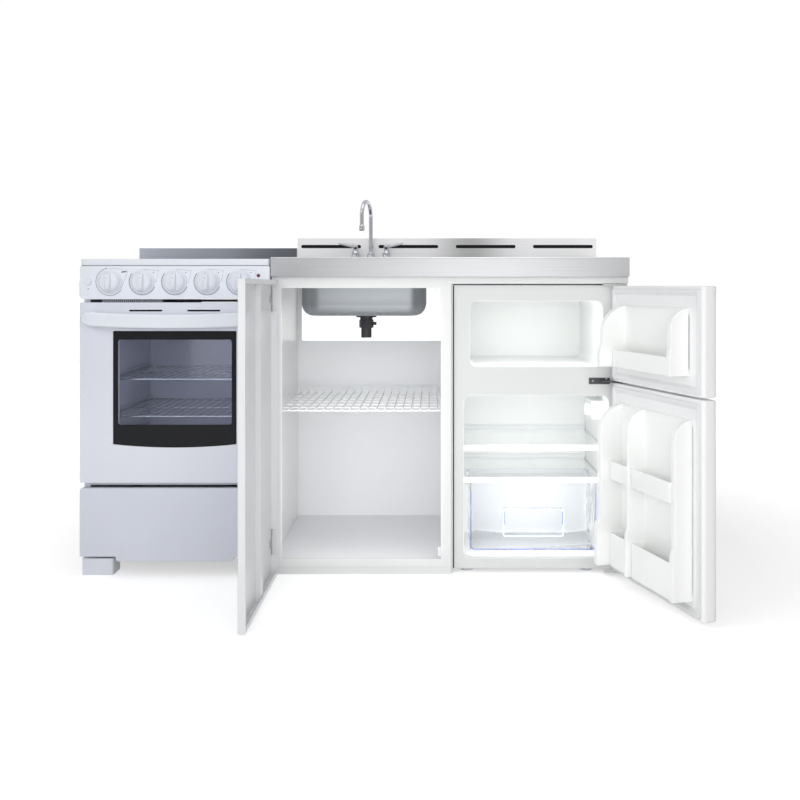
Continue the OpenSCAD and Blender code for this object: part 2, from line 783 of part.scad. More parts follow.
// Folded sides and the back with its louvres.
module cooker_panels() {
    back_y0 = rg_y1 - 2 - sheet;
    louvre_h = 6;
    color("lavender") {
        both_sides() difference() {
            block([shell_half - side_flange, sides_y0, range_foot_h],
                  [shell_half, back_y0, panel_z1]);
            block([shell_half - side_flange - 1, sides_y0 + sheet, range_foot_h + sheet],
                  [shell_half - sheet, back_y0 - sheet, panel_z1 - sheet]);
        }
        difference() {
            block([rx - shell_half, back_y0, range_foot_h],
                  [rx + shell_half, back_y0 + sheet, panel_z1]);
            for (k = [0 : 5]) {
                z = panel_z1 - 130 + 14 * k;
                front_plate(rx - 60, rx + 60, z, z + louvre_h, louvre_h / 2 - EPS,
                            back_y0 - 1, back_y0 + sheet + 1);
            }
        }
    }
}

// Floor pan with the posts and rails that carry the drawer.
module cooker_base() {
    w = shell_half - side_flange;
    pan_z = range_foot_h + sheet;
    color("gainsboro") union() {
        block([rx - shell_half + sheet, sides_y0 + sheet, pan_z],
              [rx + shell_half - sheet, rg_y1 - 2 - 2 * sheet, pan_z + sheet]);
        both_sides() union() {
            block([w - sheet, sides_y0 + 4, rail_z - 12], [w, rg_y1 - 40, rail_z]);
            block([w - 14, sides_y0 + 4, rail_z - sheet], [w, rg_y1 - 40, rail_z]);
            for (y = [sides_y0 + 18, rg_y1 - 80])
                block([w - 2, y, pan_z], [w, y + 20, rail_z - 11]);
        }
    }
}

// Moulded feet of the cooker and the levelling feet of the fridge.
module feet() {
    foot_w = 87;
    foot_l = 70;
    wall = 4;
    color("lavender") {
        for (y = [rg_y0 + 14, rg_y1 - 100]) both_sides() difference() {
            plan_plate(shell_half - foot_w, shell_half, y, y + foot_l, 6, 0, range_foot_h);
            plan_plate(shell_half - foot_w + wall, shell_half - wall, y + wall,
                       y + foot_l - wall, 3, -1, range_foot_h - 6);
        }
        for (x = [fr_x0 + 40, fr_px - 90], y = [fr_y0 + 40, fr_y1 - 50])
            translate([x, y, 0]) union() {
                cylinder(h = 6, r = 18);
                cylinder(h = fr_z0, r = 8);
            }
    }
}

function well_r(coil) = coil + 20;

hob_floor_z = hob_z - 7;

// Pressed hob with a rolled rim and four wells.
module hob_top() {
    y0 = rg_y0 + 2;
    floor_t = 2;
    z0 = panel_z1;
    color("lavender") difference() {
        plan_plate(rx - shell_half, rx + shell_half, y0, rg_y1, 10, z0, hob_z);
        plan_plate(rx - shell_half + 11, rx + shell_half - 11, y0 + 12, rg_y1 - 24, 14,
                   hob_floor_z, hob_z + 1);
        plan_plate(rx - shell_half + 3, rx + shell_half - 3, y0 + 3, rg_y1 - 3, 8,
                   z0 - 1, hob_floor_z - floor_t);
        for (h = hotplates) translate([rx + h[0], h[1], z0 - 1])
            cylinder(h = 30, r = well_r(h[2]) - 6);
    }
}

// Stainless strip along the back of the hob.
module rear_strip() {
    color("silver") difference() {
        block([rx - shell_half, rg_y1 - 22, hob_z], [rx + shell_half, rg_y1, hob_z + strip_h]);
        block([rx - shell_half + 1.5, rg_y1 - 20.5, hob_z - 1],
              [rx + shell_half - 1.5, rg_y1 - 1.5, hob_z + strip_h - 1.5]);
    }
}

// Turned bowl under each coil, with a window for the legs of the coil.
module drip_bowls() {
    t = 1.5;
    color("silver") for (h = hotplates) {
        r = well_r(h[2]);
        z = hob_floor_z;
        translate([rx + h[0], h[1], 0]) difference() {
            rotate_extrude() polygon([
                [r - 1, z], [r - 1, z + t], [r - 8, z + t], [r - 16, z - 14],
                [r - 26, z - 19], [24, z - 21], [24, z - 21 - t], [r - 25.5, z - 19 - t],
                [r - 14.5, z - 14.6], [r - 7.2, z]]);
            block([r - 34, -leg_gap - 6, z - 30], [r, leg_gap, coil_z - leg_drop + 5]);
        }
    }
}

leg_bend = 4.5;              // radius of the bends of a coil's legs
leg_drop = 2 * leg_bend;     // how far the legs run below the turns
leg_gap = 11;                // how far to the side the outer leg runs
leg_reach = 16;              // how far the legs reach past the outer turn

// A flat spiral of half circles: each is half a pitch smaller than the one
// before, and every second one is centred half a pitch to the side.
function half_turns(outer) = 2 * floor((outer - 22) / coil_pitch);
function coil_centre(k) = k % 2 == 0 ? 0 : -coil_pitch / 2;
function coil_points(outer) = [for (k = [0 : half_turns(outer) - 1], a = [0 : 15 : 165])
    let (r = outer - coil_pitch / 2 * k, b = a + 180 * (k % 2))
    [coil_centre(k) + r * cos(b), r * sin(b)]];
// Least distance between the surface of a tube and its next turn.
function least_gap(p, diameter) = min([for (i = [0 : 2 : len(p) - 14], j = [i + 13 : len(p) - 1])
    norm(p[i] - p[j])]) - diameter;

echo(hotplate_coil_least_gap = least_gap(coil_points(coil_big), coil_tube));

// Leg of a coil: from (x, y) it bends down, to the back or to the front by
// way, and then out to end_x under the turns.
module leg(x, y, way, end_x) {
    r = coil_tube / 2;
    b = leg_bend;
    y_run = y + way * b;
    translate([x, y, -b]) rotate([90, 0, 90]) tube_arc(b, r, way > 0 ? 0 : 90, 90);
    translate([x + b, y_run, -b]) rotate([90, 0, 0]) tube_arc(b, r, 180, 90);
    bar([x + b, y_run, -leg_drop], [end_x, y_run, -leg_drop], r, 24);
}

// Coil on a three-armed spider, with both legs reaching out to the socket.
module hotplate_coil(outer) {
    n = half_turns(outer);
    r = coil_tube / 2;
    inner_x = outer - coil_pitch / 2 * n;
    end_x = outer + leg_reach;
    hub_t = 4.5;                     // stands out below the arms
    union() {
        for (k = [0 : n - 1])
            translate([coil_centre(k), 0, 0])
                tube_arc(outer - coil_pitch / 2 * k, r, 180 * (k % 2), 180);
        difference() {
            union() {
                for (a = [30, 150, 270]) rotate([0, 0, a])
                    translate([0, -1, -r - leg_drop]) cube([outer + 4.4, 2, leg_drop + 1]);
                translate([0, 0, -r - leg_drop - 0.5]) cylinder(h = hub_t, r = 16);
            }
            translate([0, 0, -20]) cylinder(h = 30, r = 6);
        }
        leg(outer, -leg_gap + leg_bend, -1, end_x);
        leg(inner_x, 0, 1, end_x);
        bar([outer, 0, 0], [outer, -leg_gap + leg_bend, 0], r, 24);
    }
}

module hotplate_coils() {
    color("dimgray") for (h = hotplates)
        translate([rx + h[0], h[1], coil_z]) hotplate_coil(h[2]);
}

// Moulded front panel, widest low down, with round lower corners.
module control_panel() {
    w = range_w / 2;
    color("lavender") difference() {
        translate([rx, 0, 0]) union() {
            front_plate(-w, w, panel_z0, panel_z0 + 60, 14, rg_y0, sides_y0);
            front_plate(-w + 2, w - 2, panel_z0 + 20, panel_z1, 6, rg_y0, sides_y0);
        }
        translate([rx, 0, 0]) front_plate(-w + 5, w - 5, panel_z0 + 3, panel_z1 - 3, 10,
                                          rg_y0 + 2.5, sides_y0 + 1);
        for (k = [-2 : 2])
            bar_y(rx + k * knob_pitch, rg_y0 - 1, rg_y0 + 10, knob_z, shaft_r + 1);
        bar_y(rx - button_x, rg_y0 - 1, rg_y0 + 10, knob_z, button_r + 0.4);
        bar_y(rx + pilot_x, rg_y0 - 1, rg_y0 + 10, pilot_z, pilot_r + 0.1);
    }
}

button_x = range_w / 2 - 25;
button_r = 9.3;
pilot_x = range_w / 2 - 33;
pilot_z = knob_z + 17;
pilot_r = 5;

// Switch bodies behind the panel with their shafts through it, the lamp's
// switch behind its button, and the socket of each coil under the hob.
module switches_and_sockets() {
    body = 20;
    color("dimgray") {
        for (k = [-2 : 2]) union() {
            x = rx + k * knob_pitch;
            front_plate(x - body, x + body, knob_z - body, knob_z + body,
                        3, rg_y0 + 2.5, rg_y0 + 34);
            bar_y(x, rg_y0 - 14, rg_y0 + 3, knob_z, shaft_r);
        }
        for (h = hotplates) {
            x = rx + h[0] + h[2] + leg_reach;
            z = coil_z - leg_drop;
            block([x, h[1] - leg_gap - 7, z - 8], [x + 12, h[1] + leg_gap, hob_floor_z - 2]);
        }
    }
}

// Knob: dished skirt, dome and an upright grip, bored for its shaft.
module knob(x) {
    color("lavender") translate([x, rg_y0 - 0.4, knob_z]) rotate([90, 0, 0]) difference() {
        union() {
            rotate_extrude() polygon(concat(
                [[0, 0], [knob_r, 0], [knob_r, 3], [knob_r - 2, 6]],
                [for (a = [0 : 15 : 75]) [(knob_r - 5) * cos(a), 8 + (knob_h - 18) * sin(a)]],
                [[0, knob_h - 10]]));
            intersection() {
                translate([0, 0, knob_h / 2]) cube([13, 2 * knob_r - 14, knob_h], center = true);
                cylinder(h = knob_h, r = knob_r - 8);
                translate([0, 0, -knob_r * 1.4 + knob_h]) rotate([0, 90, 0])
                    cylinder(h = 20, r = knob_r * 1.4, center = true);
            }
        }
        translate([0, 0, -1]) cylinder(h = 15.4, r = shaft_r + FIT);
    }
}

module knob_oven() {
    knob(rx - 2 * knob_pitch);
}

module knob_front_left() {
    knob(rx - knob_pitch);
}

module knob_rear_left() {
    knob(rx);
}

module knob_rear_right() {
    knob(rx + knob_pitch);
}

module knob_front_right() {
    knob(rx + 2 * knob_pitch);
}

// Push button of the oven lamp, with a collar behind the panel.
module lamp_button() {
    color("lavender") translate([rx - button_x, 0, knob_z]) rotate([-90, 0, 0])
        rotate_extrude() polygon([
            [0, rg_y0 - 4], [button_r - 2, rg_y0 - 4], [button_r, rg_y0 - 2.5],
            [button_r, rg_y0 + 2.8], [button_r + 2, rg_y0 + 2.8], [button_r + 2, rg_y0 + 5],
            [0, rg_y0 + 5]]);
}

// Pilot lamp in the panel, and the lamp glass on the rear wall of the oven.
module lamps() {
    color("firebrick") translate([rx + pilot_x, 0, pilot_z]) rotate([-90, 0, 0])
        rotate_extrude() polygon([
            [0, rg_y0 - 2.5], [3, rg_y0 - 2], [pilot_r, rg_y0], [pilot_r, rg_y0 + 12],
            [0, rg_y0 + 12]]);
    color("whitesmoke") translate([rx - 130, cavity_y1, cavity_z1 - 70]) rotate([90, 0, 0])
        rotate_extrude() polygon(concat([[0, 0], [24, 0], [24, 5]],
            [for (a = [0 : 15 : 75]) [20 * cos(a), 5 + 20 * sin(a)]], [[0, 25]]));
}

// ---------------------------------------------------------------- oven

hinge_arm_x = shell_half - 30;   // middle of each oven hinge, from the centre
oven_pin_r = 3.5;

// Enamelled frame that the oven door closes on, with the hinge arms.
module oven_front_frame() {
    y1 = front_y + 6;
    color("gainsboro") union() {
        difference() {
            block([rx - shell_half + side_flange, front_y, oven_z0 - 12],
                  [rx + shell_half - side_flange, y1, oven_z1 - 2]);
            front_plate(rx - cavity_half, rx + cavity_half, cavity_z0, cavity_z1, 20,
                        front_y - 1, y1 + 1);
        }
        both_sides() {
            x = hinge_arm_x;
            block([x - 2, oven_px_y, oven_px_z - 5], [x + 2, front_y + EPS, oven_px_z + 5]);
            bar_x(x - 2, x + 2, oven_px_y, oven_px_z, 5);
            bar_x(x - 13, x, oven_px_y, oven_px_z, oven_pin_r);
        }
    }
}

// Woven seal on the frame round the mouth of the oven.
module oven_seal() {
    inside = cavity_half + 6;
    outside = inside + 9;
    color("dimgray") difference() {
        front_plate(rx - outside, rx + outside, cavity_z0 - 15, cavity_z1 + 15, 32,
                    rg_y0 + oven_door_t + SEAT, front_y);
        front_plate(rx - inside, rx + inside, cavity_z0 - 6, cavity_z1 + 6, 24,
                    rg_y0, front_y + 1);
    }
}

// Enamelled box, open to the front, with pressed ledges for the racks.
module oven_cavity() {
    y0 = front_y + 6;
    t = 1.5;
    c = cavity_half;
    color("dimgray") union() {
        difference() {
            front_plate(rx - c - t, rx + c + t, cavity_z0 - t, cavity_z1 + t, 21.5, y0, cavity_y1 + t);
            front_plate(rx - c, rx + c, cavity_z0, cavity_z1, 20, y0 - 1, cavity_y1);
        }
        for (z = rack_zs, s = [-1, 1]) for (dz = [-8, 7])
            block([min(rx + s * c, rx + s * (c - 9)), y0 + 12, z + dz],
                  [max(rx + s * c, rx + s * (c - 9)), cavity_y1, z + dz + 3]);
    }
}

// Two wire racks.
module oven_racks() {
    w = 2.5;
    hw = cavity_half - 3;
    y0 = front_y + 24;
    y1 = cavity_y1 - 6;
    color("silver") for (z = rack_zs) translate([rx, 0, z - 5 + w]) union() {
        for (x = [-hw + w : (2 * hw - 2 * w) / 16 : hw])
            bar([x, y0, 0], [x, y1, 0], abs(x) > hw - 2 * w ? w : w * 0.7, 8);
        for (y = [y0, (y0 + y1) / 2, y1])
            bar([-hw + w, y, 0], [hw - w, y, 0], w, 8);
    }
}

// Heating tubes at the floor and at the roof of the oven: a loop with round
// corners, whose ends turn back into the rear wall.
module oven_elements() {
    r = 3.5;
    bend = 40;
    hw = 160;
    y0 = front_y + 90;
    y1 = cavity_y1 - 50;
    tail_x = 30;
    color("dimgray") for (z = [cavity_z0 + 24, cavity_z1 - 24]) translate([rx, 0, z]) union() {
        bar([-hw + bend, y0, 0], [hw - bend, y0, 0], r, 24);
        for (s = [0, 1]) mirror([s, 0, 0]) {
            translate([hw - bend, y0 + bend, 0]) tube_arc(bend, r, 270, 90);
            bar([hw, y0 + bend, 0], [hw, y1 - bend, 0], r, 24);
            translate([hw - bend, y1 - bend, 0]) tube_arc(bend, r, 0, 90);
            bar([hw - bend, y1, 0], [tail_x + 20, y1, 0], r, 24);
            translate([tail_x + 20, y1 + 20, 0]) tube_arc(20, r, 180, 90);
            bar([tail_x, y1 + 20, 0], [tail_x, cavity_y1, 0], r, 24);
        }
    }
}

// Outer panel of the oven door with vent slots and a window whose lower
// edge is bowed.
module oven_door() {
    w = range_w / 2 - 1;
    y1 = rg_y0 + oven_door_t - 6;
    color("lavender") difference() {
        front_plate(rx - w, rx + w, oven_z0, oven_z1, 6, rg_y0, y1);
        front_plate(rx - w + 2, rx + w - 2, oven_z0 + 2, oven_z1 - 2, 4, rg_y0 + 2, y1 + 1);
        window_outline(0.2, rg_y0 - 1, rg_y0 + 4);
        for (s = [-1, 1])
            front_plate(rx + s * 80.6 - 46, rx + s * 80.6 + 46, oven_z1 - 25, oven_z1 - 20,
                        2.4, rg_y0 - 1, rg_y0 + 4);
        for (s = [-1, 1])
            block([rx + s * hinge_arm_x - 4, oven_px_y - 7, oven_z0 - 1],
                  [rx + s * hinge_arm_x + 4, y1 + 1, oven_px_z + 8]);
    }
}

// Window shape: a rectangle whose lower edge sags by a shallow arc.
module window_outline(grow, y0, y1) {
    sag = 9;
    half = window_w / 2 + grow;
    arc_r = (half * half + sag * sag) / (2 * sag);
    translate([rx, y1, 0]) rotate([90, 0, 0]) linear_extrude(y1 - y0) union() {
        translate([-half, pane_z0 - grow]) square([2 * half, window_h + 2 * grow]);
        intersection() {
            translate([0, pane_z0 - grow - sag + arc_r]) circle(arc_r, $fn = 360);
            translate([-half, pane_z0 - grow - sag - 1]) square([2 * half, sag + 2]);
        }
    }
}

glass_half = 160;                    // inner pane, half its width

// Front pane with its bowed lower edge, and the inner pane of the door.
module oven_window() {
    liner_y0 = rg_y0 + oven_door_t - 6;
    color([0.3, 0.32, 0.36]) {
        window_outline(0, rg_y0 + 0.3, rg_y0 + 4);
        front_plate(rx - glass_half - 8, rx + glass_half + 8, pane_z0 + 22, pane_z1 - 16, 6,
                    liner_y0 - 4, liner_y0);
    }
}

// Inner pan of the door with its opening and the bosses that turn on the
// hinge pins.
module oven_door_liner() {
    w = range_w / 2 - 1;
    y0 = rg_y0 + oven_door_t - 6;
    y1 = rg_y0 + oven_door_t;
    boss_x = hinge_arm_x - 13;
    color("gainsboro") difference() {
        union() {
            front_plate(rx - w, rx + w, oven_z0, oven_z1, 6, y0, y1);
            both_sides() block([boss_x, oven_px_y - 6, oven_z0 + 2.5],
                               [boss_x + 8, y0 + EPS, oven_px_z + 6]);
        }
        front_plate(rx - glass_half, rx + glass_half, pane_z0 + 30, pane_z1 - 24, 8,
                    y0 - 1, y1 + 1);
        both_sides() {
            block([hinge_arm_x - 4, y0 - 1, oven_z0 - 1],
                  [hinge_arm_x + 4, y1 + 1, oven_px_z + 8]);
            bar_x(boss_x - 1, hinge_arm_x, oven_px_y, oven_px_z, oven_pin_r + FIT);
        }
    }
}

// Bar handle that sags towards its middle, with a foot at each end.
module oven_handle() {
    top_z = oven_z1 - 32;            // upper edge in the middle
    drop = 9;
    h = 40;
    t = 16;
    reach = 44;
    arc_r = (handle_half * handle_half + drop * drop) / (2 * drop);
    half_angle = asin(handle_half / arc_r);
    foot_y = rg_y0 - reach + t / 2;
    color("lavender") union() {
        translate([rx, foot_y, top_z + arc_r]) rotate([90, 0, 0])
            rotate([0, 0, 270 - half_angle]) rotate_extrude(angle = 2 * half_angle, $fn = 1440)
                translate([arc_r + h / 2, 0]) round_rect(h, t, 7, $fn = 32);
        for (s = [-1, 1])
            front_plate(rx + s * (handle_half - 16) - 13, rx + s * (handle_half - 16) + 13,
                        top_z - 24, top_z + 6, 8, foot_y, rg_y0);
    }
}

// ---------------------------------------------------------------- drawer

// Drawer front, bellied towards the bottom.
module drawer_front() {
    w = range_w / 2 - 1;
    step_w = 87 + 14;
    color("lavender") difference() {
        union() {
            front_plate(rx - w, rx + w, drawer_z0, drawer_z1, 5, rg_y0, rg_y0 + 22);
            front_plate(rx - w + step_w, rx + w - step_w, drawer_z0 - 13, drawer_z0 + 20, 6,
                        rg_y0, rg_y0 + 12);
        }
        front_plate(rx - w + 2, rx + w - 2, drawer_z0 + 2, drawer_z1 - 2, 3,
                    rg_y0 + 2, rg_y0 + 23);
    }
}

// Steel tray that hangs by its side flanges on the rails.
module drawer_tray() {
    w = shell_half - side_flange - 16;
    y0 = rg_y0 + 2;
    y1 = rg_y1 - 90;
    z0 = drawer_z0 + 20;
    t = 1.2;
    color("gainsboro") union() {
        difference() {
            block([rx - w, y0, z0], [rx + w, y1, rail_z + 20]);
            block([rx - w + t, y0 + t, z0 + t], [rx + w - t, y1 - t, rail_z + 21]);
        }
        both_sides() block([w - EPS, y0 + 24, rail_z + SEAT], [w + 14, y1, rail_z + SEAT + t]);
    }
}

// ---------------------------------------------------------------- fridge

// Insulated case with both compartments and the compressor bay at the back.
module fridge_case() {
    bay_h = step_h - 20;
    color("white") difference() {
        block([fr_x0, fr_y0, fr_z0], [fr_x1, fr_y1, fr_z1]);
        front_plate(freezer_x0, freezer_x1, freezer_z, freezer_z1, 22, fr_y0 - 1, liner_back);
        front_plate(cooler_x0, cooler_x1, cooler_z + step_h, cooler_z1, 22, fr_y0 - 1, liner_back);
        front_plate(cooler_x0, cooler_x1, cooler_z, cooler_z1, 22, fr_y0 - 1, liner_back - step_d);
        block([fr_x0 + 6, fr_y1 - bay_d, fr_z0 - 1], [fr_x1 - 6, fr_y1 + 1, fr_z0 + bay_h]);
    }
}

bay_d = 160;                         // depth of the compressor bay

// Moulded skins of both compartments.
module fridge_liners() {
    t = liner_t;
    color("white") union() {
        difference() {
            front_plate(freezer_x0, freezer_x1, freezer_z, freezer_z1, 22, fr_y0, liner_back);
            front_plate(freezer_x0 + t, freezer_x1 - t, freezer_z + t, freezer_z1 - t, 20,
                        fr_y0 - 1, liner_back - t);
        }
        difference() {
            union() {
                front_plate(cooler_x0, cooler_x1, cooler_z + step_h, cooler_z1, 22,
                            fr_y0, liner_back);
                front_plate(cooler_x0, cooler_x1, cooler_z, cooler_z1, 22,
                            fr_y0, liner_back - step_d);
            }
            front_plate(cooler_x0 + t, cooler_x1 - t, cooler_z + step_h + t, cooler_z1 - t, 20,
                        fr_y0 - 1, liner_back - t);
            front_plate(cooler_x0 + t, cooler_x1 - t, cooler_z + t, cooler_z1 - t, 20,
                        fr_y0 - 1, liner_back - step_d - t);
        }
        // ledges that carry the shelves
        for (z = [glass_z, crisper_top_z], x = [cooler_x0 + t - EPS, cooler_x1 - t - ledge_w])
            block([x, shelf_front + 12, z - glass_t - 4],
                  [x + ledge_w + EPS, liner_back - t + EPS, z - glass_t]);
    }
}

ledge_w = 9;                         // ledges that carry the glass shelves
glass_t = 4;

// Glass shelf with moulded trims, and the shelf over the crisper.
module fridge_shelves() {
    x0 = cooler_x0 + liner_t + 1;
    x1 = cooler_x1 - liner_t - 1;
    y1 = liner_back - liner_t - 1;
    color([0.8, 0.9, 0.95]) for (z = [glass_z, crisper_top_z]) union() {
        block([x0, shelf_front + 4, z - glass_t], [x1, y1, z]);
        block([x0, shelf_front, z - 12], [x1, shelf_front + 8, z + 3]);
        block([x0, y1 - 5, z - glass_t], [x1, y1, z + 12]);
    }
}

// Clear tub with a recessed grip in its front.
module crisper_drawer() {
    lo = crisper_lo;
    hi = crisper_hi;
    t = 2.5;
    grip = [86, 20, 40, 116];        // half width, depth, lower and upper edge
    mid = (lo.x + hi.x) / 2;
    color([0.8, 0.9, 1, 0.5]) difference() {
        union() {
            difference() {
                plan_plate(lo.x, hi.x, lo.y, hi.y, 14, lo.z, hi.z);
                plan_plate(lo.x + t, hi.x - t, lo.y + t, hi.y - t, 14 - t, lo.z + t, hi.z + 1);
            }
            block([mid - grip[0] - t, lo.y + t / 2, lo.z + grip[2] - t],
                  [mid + grip[0] + t, lo.y + grip[1] + t, lo.z + grip[3] + t]);
        }
        block([mid - grip[0], lo.y - 1, lo.z + grip[2]],
              [mid + grip[0], lo.y + grip[1], lo.z + grip[3]]);
    }
}

// ---- thermostat on the right wall of the fridge
stat_x0 = cooler_x1 - liner_t - 34;
stat_y0 = fr_y0 + 92;
stat_z0 = cooler_z1 - 80;
stat_h = 52;
dial_y = stat_y0 + 32;
dial_z = stat_z0 + stat_h / 2;

// Housing with the lamp's cover behind and the shaft of the dial.
module thermostat() {
    color("whitesmoke") union() {
        block([stat_x0, stat_y0, stat_z0], [cooler_x1 - liner_t, stat_y0 + 120, stat_z0 + stat_h]);
        bar_x(stat_x0 - 8, stat_x0 + 1, dial_y, dial_z, shaft_r);
    }
}

// Dial with a finger bar across its face.
module thermostat_dial() {
    color("white") translate([stat_x0 - SEAT, dial_y, dial_z]) rotate([0, -90, 0]) difference() {
        union() {
            cylinder(h = 9, r = 19);
            translate([-16, -3, 0]) cube([32, 6, 15]);
        }
        translate([0, 0, -1]) cylinder(h = 9.2, r = shaft_r + FIT);
    }
}

// Top, middle and bottom hinges of the fridge doors with their pins.
module fridge_hinges() {
    t = 2.5;
    reach = fr_py - 9;
    color("dimgray") union() {
        block([fr_px - 50, reach, fr_z1], [fr_px + 12, fr_y0 + 40, fr_z1 + t]);
        translate([fr_px, fr_py, fr_z1 - 12]) cylinder(h = 12 + EPS, r = fpin_r);
    }
    color("dimgray") union() {
        block([fr_px - 87, fr_y0 - 2, split_z - 9], [fr_px - 28, fr_y0, split_z + 9]);
        block([fr_px - 56, reach, split_z - t / 2], [fr_px + 9, fr_y0, split_z + t / 2]);
        translate([fr_px, fr_py, split_z - 14]) cylinder(h = 28, r = fpin_r);
    }
    color("dimgray") union() {
        block([fr_px - 50, reach, fr_z0 - t], [fr_px + 12, fr_y0 + 40, fr_z0]);
        translate([fr_px, fr_py, fr_z0 - EPS]) cylinder(h = 14, r = fpin_r);
    }
}

// Door shell between two heights, with round upright corners.
module door_shell(z0, z1) {
    plan_plate(fr_x0, fr_x1, fdoor_out, fdoor_in, 8, z0, z1);
}

// Side profile of a moulded rib: depth p, with a long round shoulder.
module rib_profile(p, z0, z1) {
    r = min(p * 0.95, 90);
    difference() {
        translate([fdoor_in, z0]) square([p, z1 - z0]);
        difference() {
            translate([fdoor_in + p - r, z1 - r]) square([r + 1, r + 1]);
            translate([fdoor_in + p - r, z1 - r]) circle(r);
        }
    }
}

// Inside of a door: two side ribs, a middle rib and bins between them. The
// free rib stays clear of the wall at wall_x0 while the door swings, the
// hinge rib of the one at wall_x1. A bin is its floor height and its own.
module door_moulding(z0, z1, wall_x0, wall_x1, bins, mid) {
    deep = fdoor_in - fr_py + rib_free;
    swing = fr_px - wall_x0 - 8;
    free_x = fr_px - sqrt(swing * swing - deep * deep);
    hinge_rib_x = wall_x1 - 12;
    bin_d = 50;
    bin_t = 4;
    along_x(hinge_rib_x - 22, hinge_rib_x) rib_profile(rib_hinge, z0, z1);
    along_x(free_x, free_x + 18) rib_profile(rib_free, z0, z1);
    if (mid) along_x(fr_px - 190, fr_px - 180) rib_profile(rib_mid, z0, z1);
    for (b = bins) {
        block([free_x + 10, fdoor_in - EPS, b[0]],
              [hinge_rib_x - 10, fdoor_in + bin_d, b[0] + bin_t]);
        block([free_x + 10, fdoor_in + bin_d - bin_t, b[0]],
              [hinge_rib_x - 10, fdoor_in + bin_d, b[0] + b[1]]);
    }
}

module hinge_bore(z0, z1) {
    translate([fr_px, fr_py, z0]) cylinder(h = z1 - z0, r = fpin_r + FIT);
}

module freezer_door() {
    color("white") fridge_door_pose() difference() {
        union() {
            door_shell(freezer_door_z0, freezer_door_z1);
            door_moulding(freezer_z + 12, freezer_z1 - 12, freezer_x0 + liner_t,
                          freezer_x1 - liner_t, [[freezer_z + 12, 46]], false);
        }
        hinge_bore(freezer_door_z0 - 1, freezer_door_z0 + 16);
        hinge_bore(freezer_door_z1 - 16, freezer_door_z1 + 1);
    }
}

module cooler_door() {
    color("white") fridge_door_pose() difference() {
        union() {
            door_shell(cooler_door_z0, cooler_door_z1);
            door_moulding(cooler_z + 12, cooler_z1 - 14, cooler_x0 + liner_t,
                          cooler_x1 - liner_t, [[cooler_z + 12, 90], [cooler_z + 245, 50]], true);
        }
        hinge_bore(cooler_door_z0 - 1, cooler_door_z0 + 16);
        hinge_bore(cooler_door_z1 - 16, cooler_door_z1 + 1);
    }
}

// Soft frame that seals a door to the case.
module gasket(z0, z1) {
    x0 = fr_x0 + 8;
    x1 = fr_px;
    w = 16;
    color("whitesmoke") fridge_door_pose() difference() {
        front_plate(x0, x1, z0, z1, 6, fdoor_in, fdoor_in + gasket_t);
        front_plate(x0 + w, x1 - w, z0 + w, z1 - w, 4, fdoor_in - 1, fdoor_in + gasket_t + 1);
    }
}

module freezer_gasket() {
    gasket(freezer_door_z0 + 8, freezer_door_z1 - 8);
}

module cooler_gasket() {
    gasket(cooler_door_z0 + 8, cooler_door_z1 - 8);
}

// Compressor on its mounting pan and the wire condenser on the back.
module cooling_circuit() {
    pot_x = fr_x0 + 150;
    pot_y = fr_y1 - 76;
    pot_r = 55;
    runs = 9;
    run_pitch = 46;
    tube = 2.5;
    coil_y = fr_y1 + 16;
    x0 = fr_x0 + 60;
    x1 = fr_x1 - 60;
    z0 = fr_z0 + 190;
    color("dimgray") {
        union() {
            block([fr_x0 + 6, fr_y1 - 140, fr_z0], [fr_x1 - 6, fr_y1 - 10, fr_z0 + 2]);
            for (a = [45 : 90 : 315])
                translate([pot_x + 40 * cos(a), pot_y + 40 * sin(a), fr_z0 + 1])
                    cylinder(h = 12, r = 8);
            translate([pot_x, pot_y, fr_z0 + 12]) rotate_extrude() polygon(concat(
                [[0, 0], [pot_r, 0], [pot_r, 40]],
                [for (a = [15 : 15 : 75]) [pot_r * cos(a), 40 + 38 * sin(a)]],
                [[0, 78]]));
        }
        union() {
            for (k = [0 : runs - 1]) {
                z = z0 + run_pitch * k;
                bar([x0, coil_y, z], [x1, coil_y, z], tube, 24);
                if (k < runs - 1)
                    translate([k % 2 == 0 ? x1 : x0, coil_y, z + run_pitch / 2])
                        rotate([90, 0, 0])
                            tube_arc(run_pitch / 2, tube, k % 2 == 0 ? 270 : 90, 180);
            }
            for (x = [x0 + 30, x1 - 30])
                block([x - 5, fr_y1, z0 - 10], [x + 5, coil_y, z0 + run_pitch * (runs - 1) + 10]);
        }
    }
}

// ---------------------------------------------------------------- drawing

side_panels();
partition_panel();
cabinet_floor();
cabinet_back();
face_frame();
worktop();
backsplash();
sink_bowl();
sink_strainer();
drain_tailpiece();
tap_base();
tap_spout();
tap_lever_left();
tap_lever_right();
wire_shelf();
cabinet_fittings();
sink_door();
door_stiffener();
door_pull();
door_hinge_knuckles();
cabinet_hinges();
cooker_panels();
cooker_base();
feet();
hob_top();
rear_strip();
drip_bowls();
hotplate_coils();
control_panel();
switches_and_sockets();
knob_oven();
knob_front_left();
knob_rear_left();
knob_rear_right();
knob_front_right();
lamp_button();
lamps();
oven_front_frame();
oven_seal();
oven_cavity();
oven_racks();
oven_elements();
oven_door();
oven_door_liner();
oven_window();
oven_handle();
drawer_front();
drawer_tray();
fridge_case();
fridge_liners();
fridge_shelves();
crisper_drawer();
thermostat();
thermostat_dial();
fridge_hinges();
freezer_door();
freezer_gasket();
cooler_door();
cooler_gasket();
cooling_circuit();
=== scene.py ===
# %% [markdown]
# # A kitchenette with a sink, a cooker and a small fridge
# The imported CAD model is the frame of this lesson: each of its solids already
# stands where it belongs, in metres, and moves with its own body. We give the
# solids soft edges and finishes, and make the pieces that need more shape,
# such as the hotplate coils, the wire shelf, the tap levers and the knobs.

# %% Load the frame
import json
import math

import bmesh
import bpy
from mathutils import Matrix, Vector


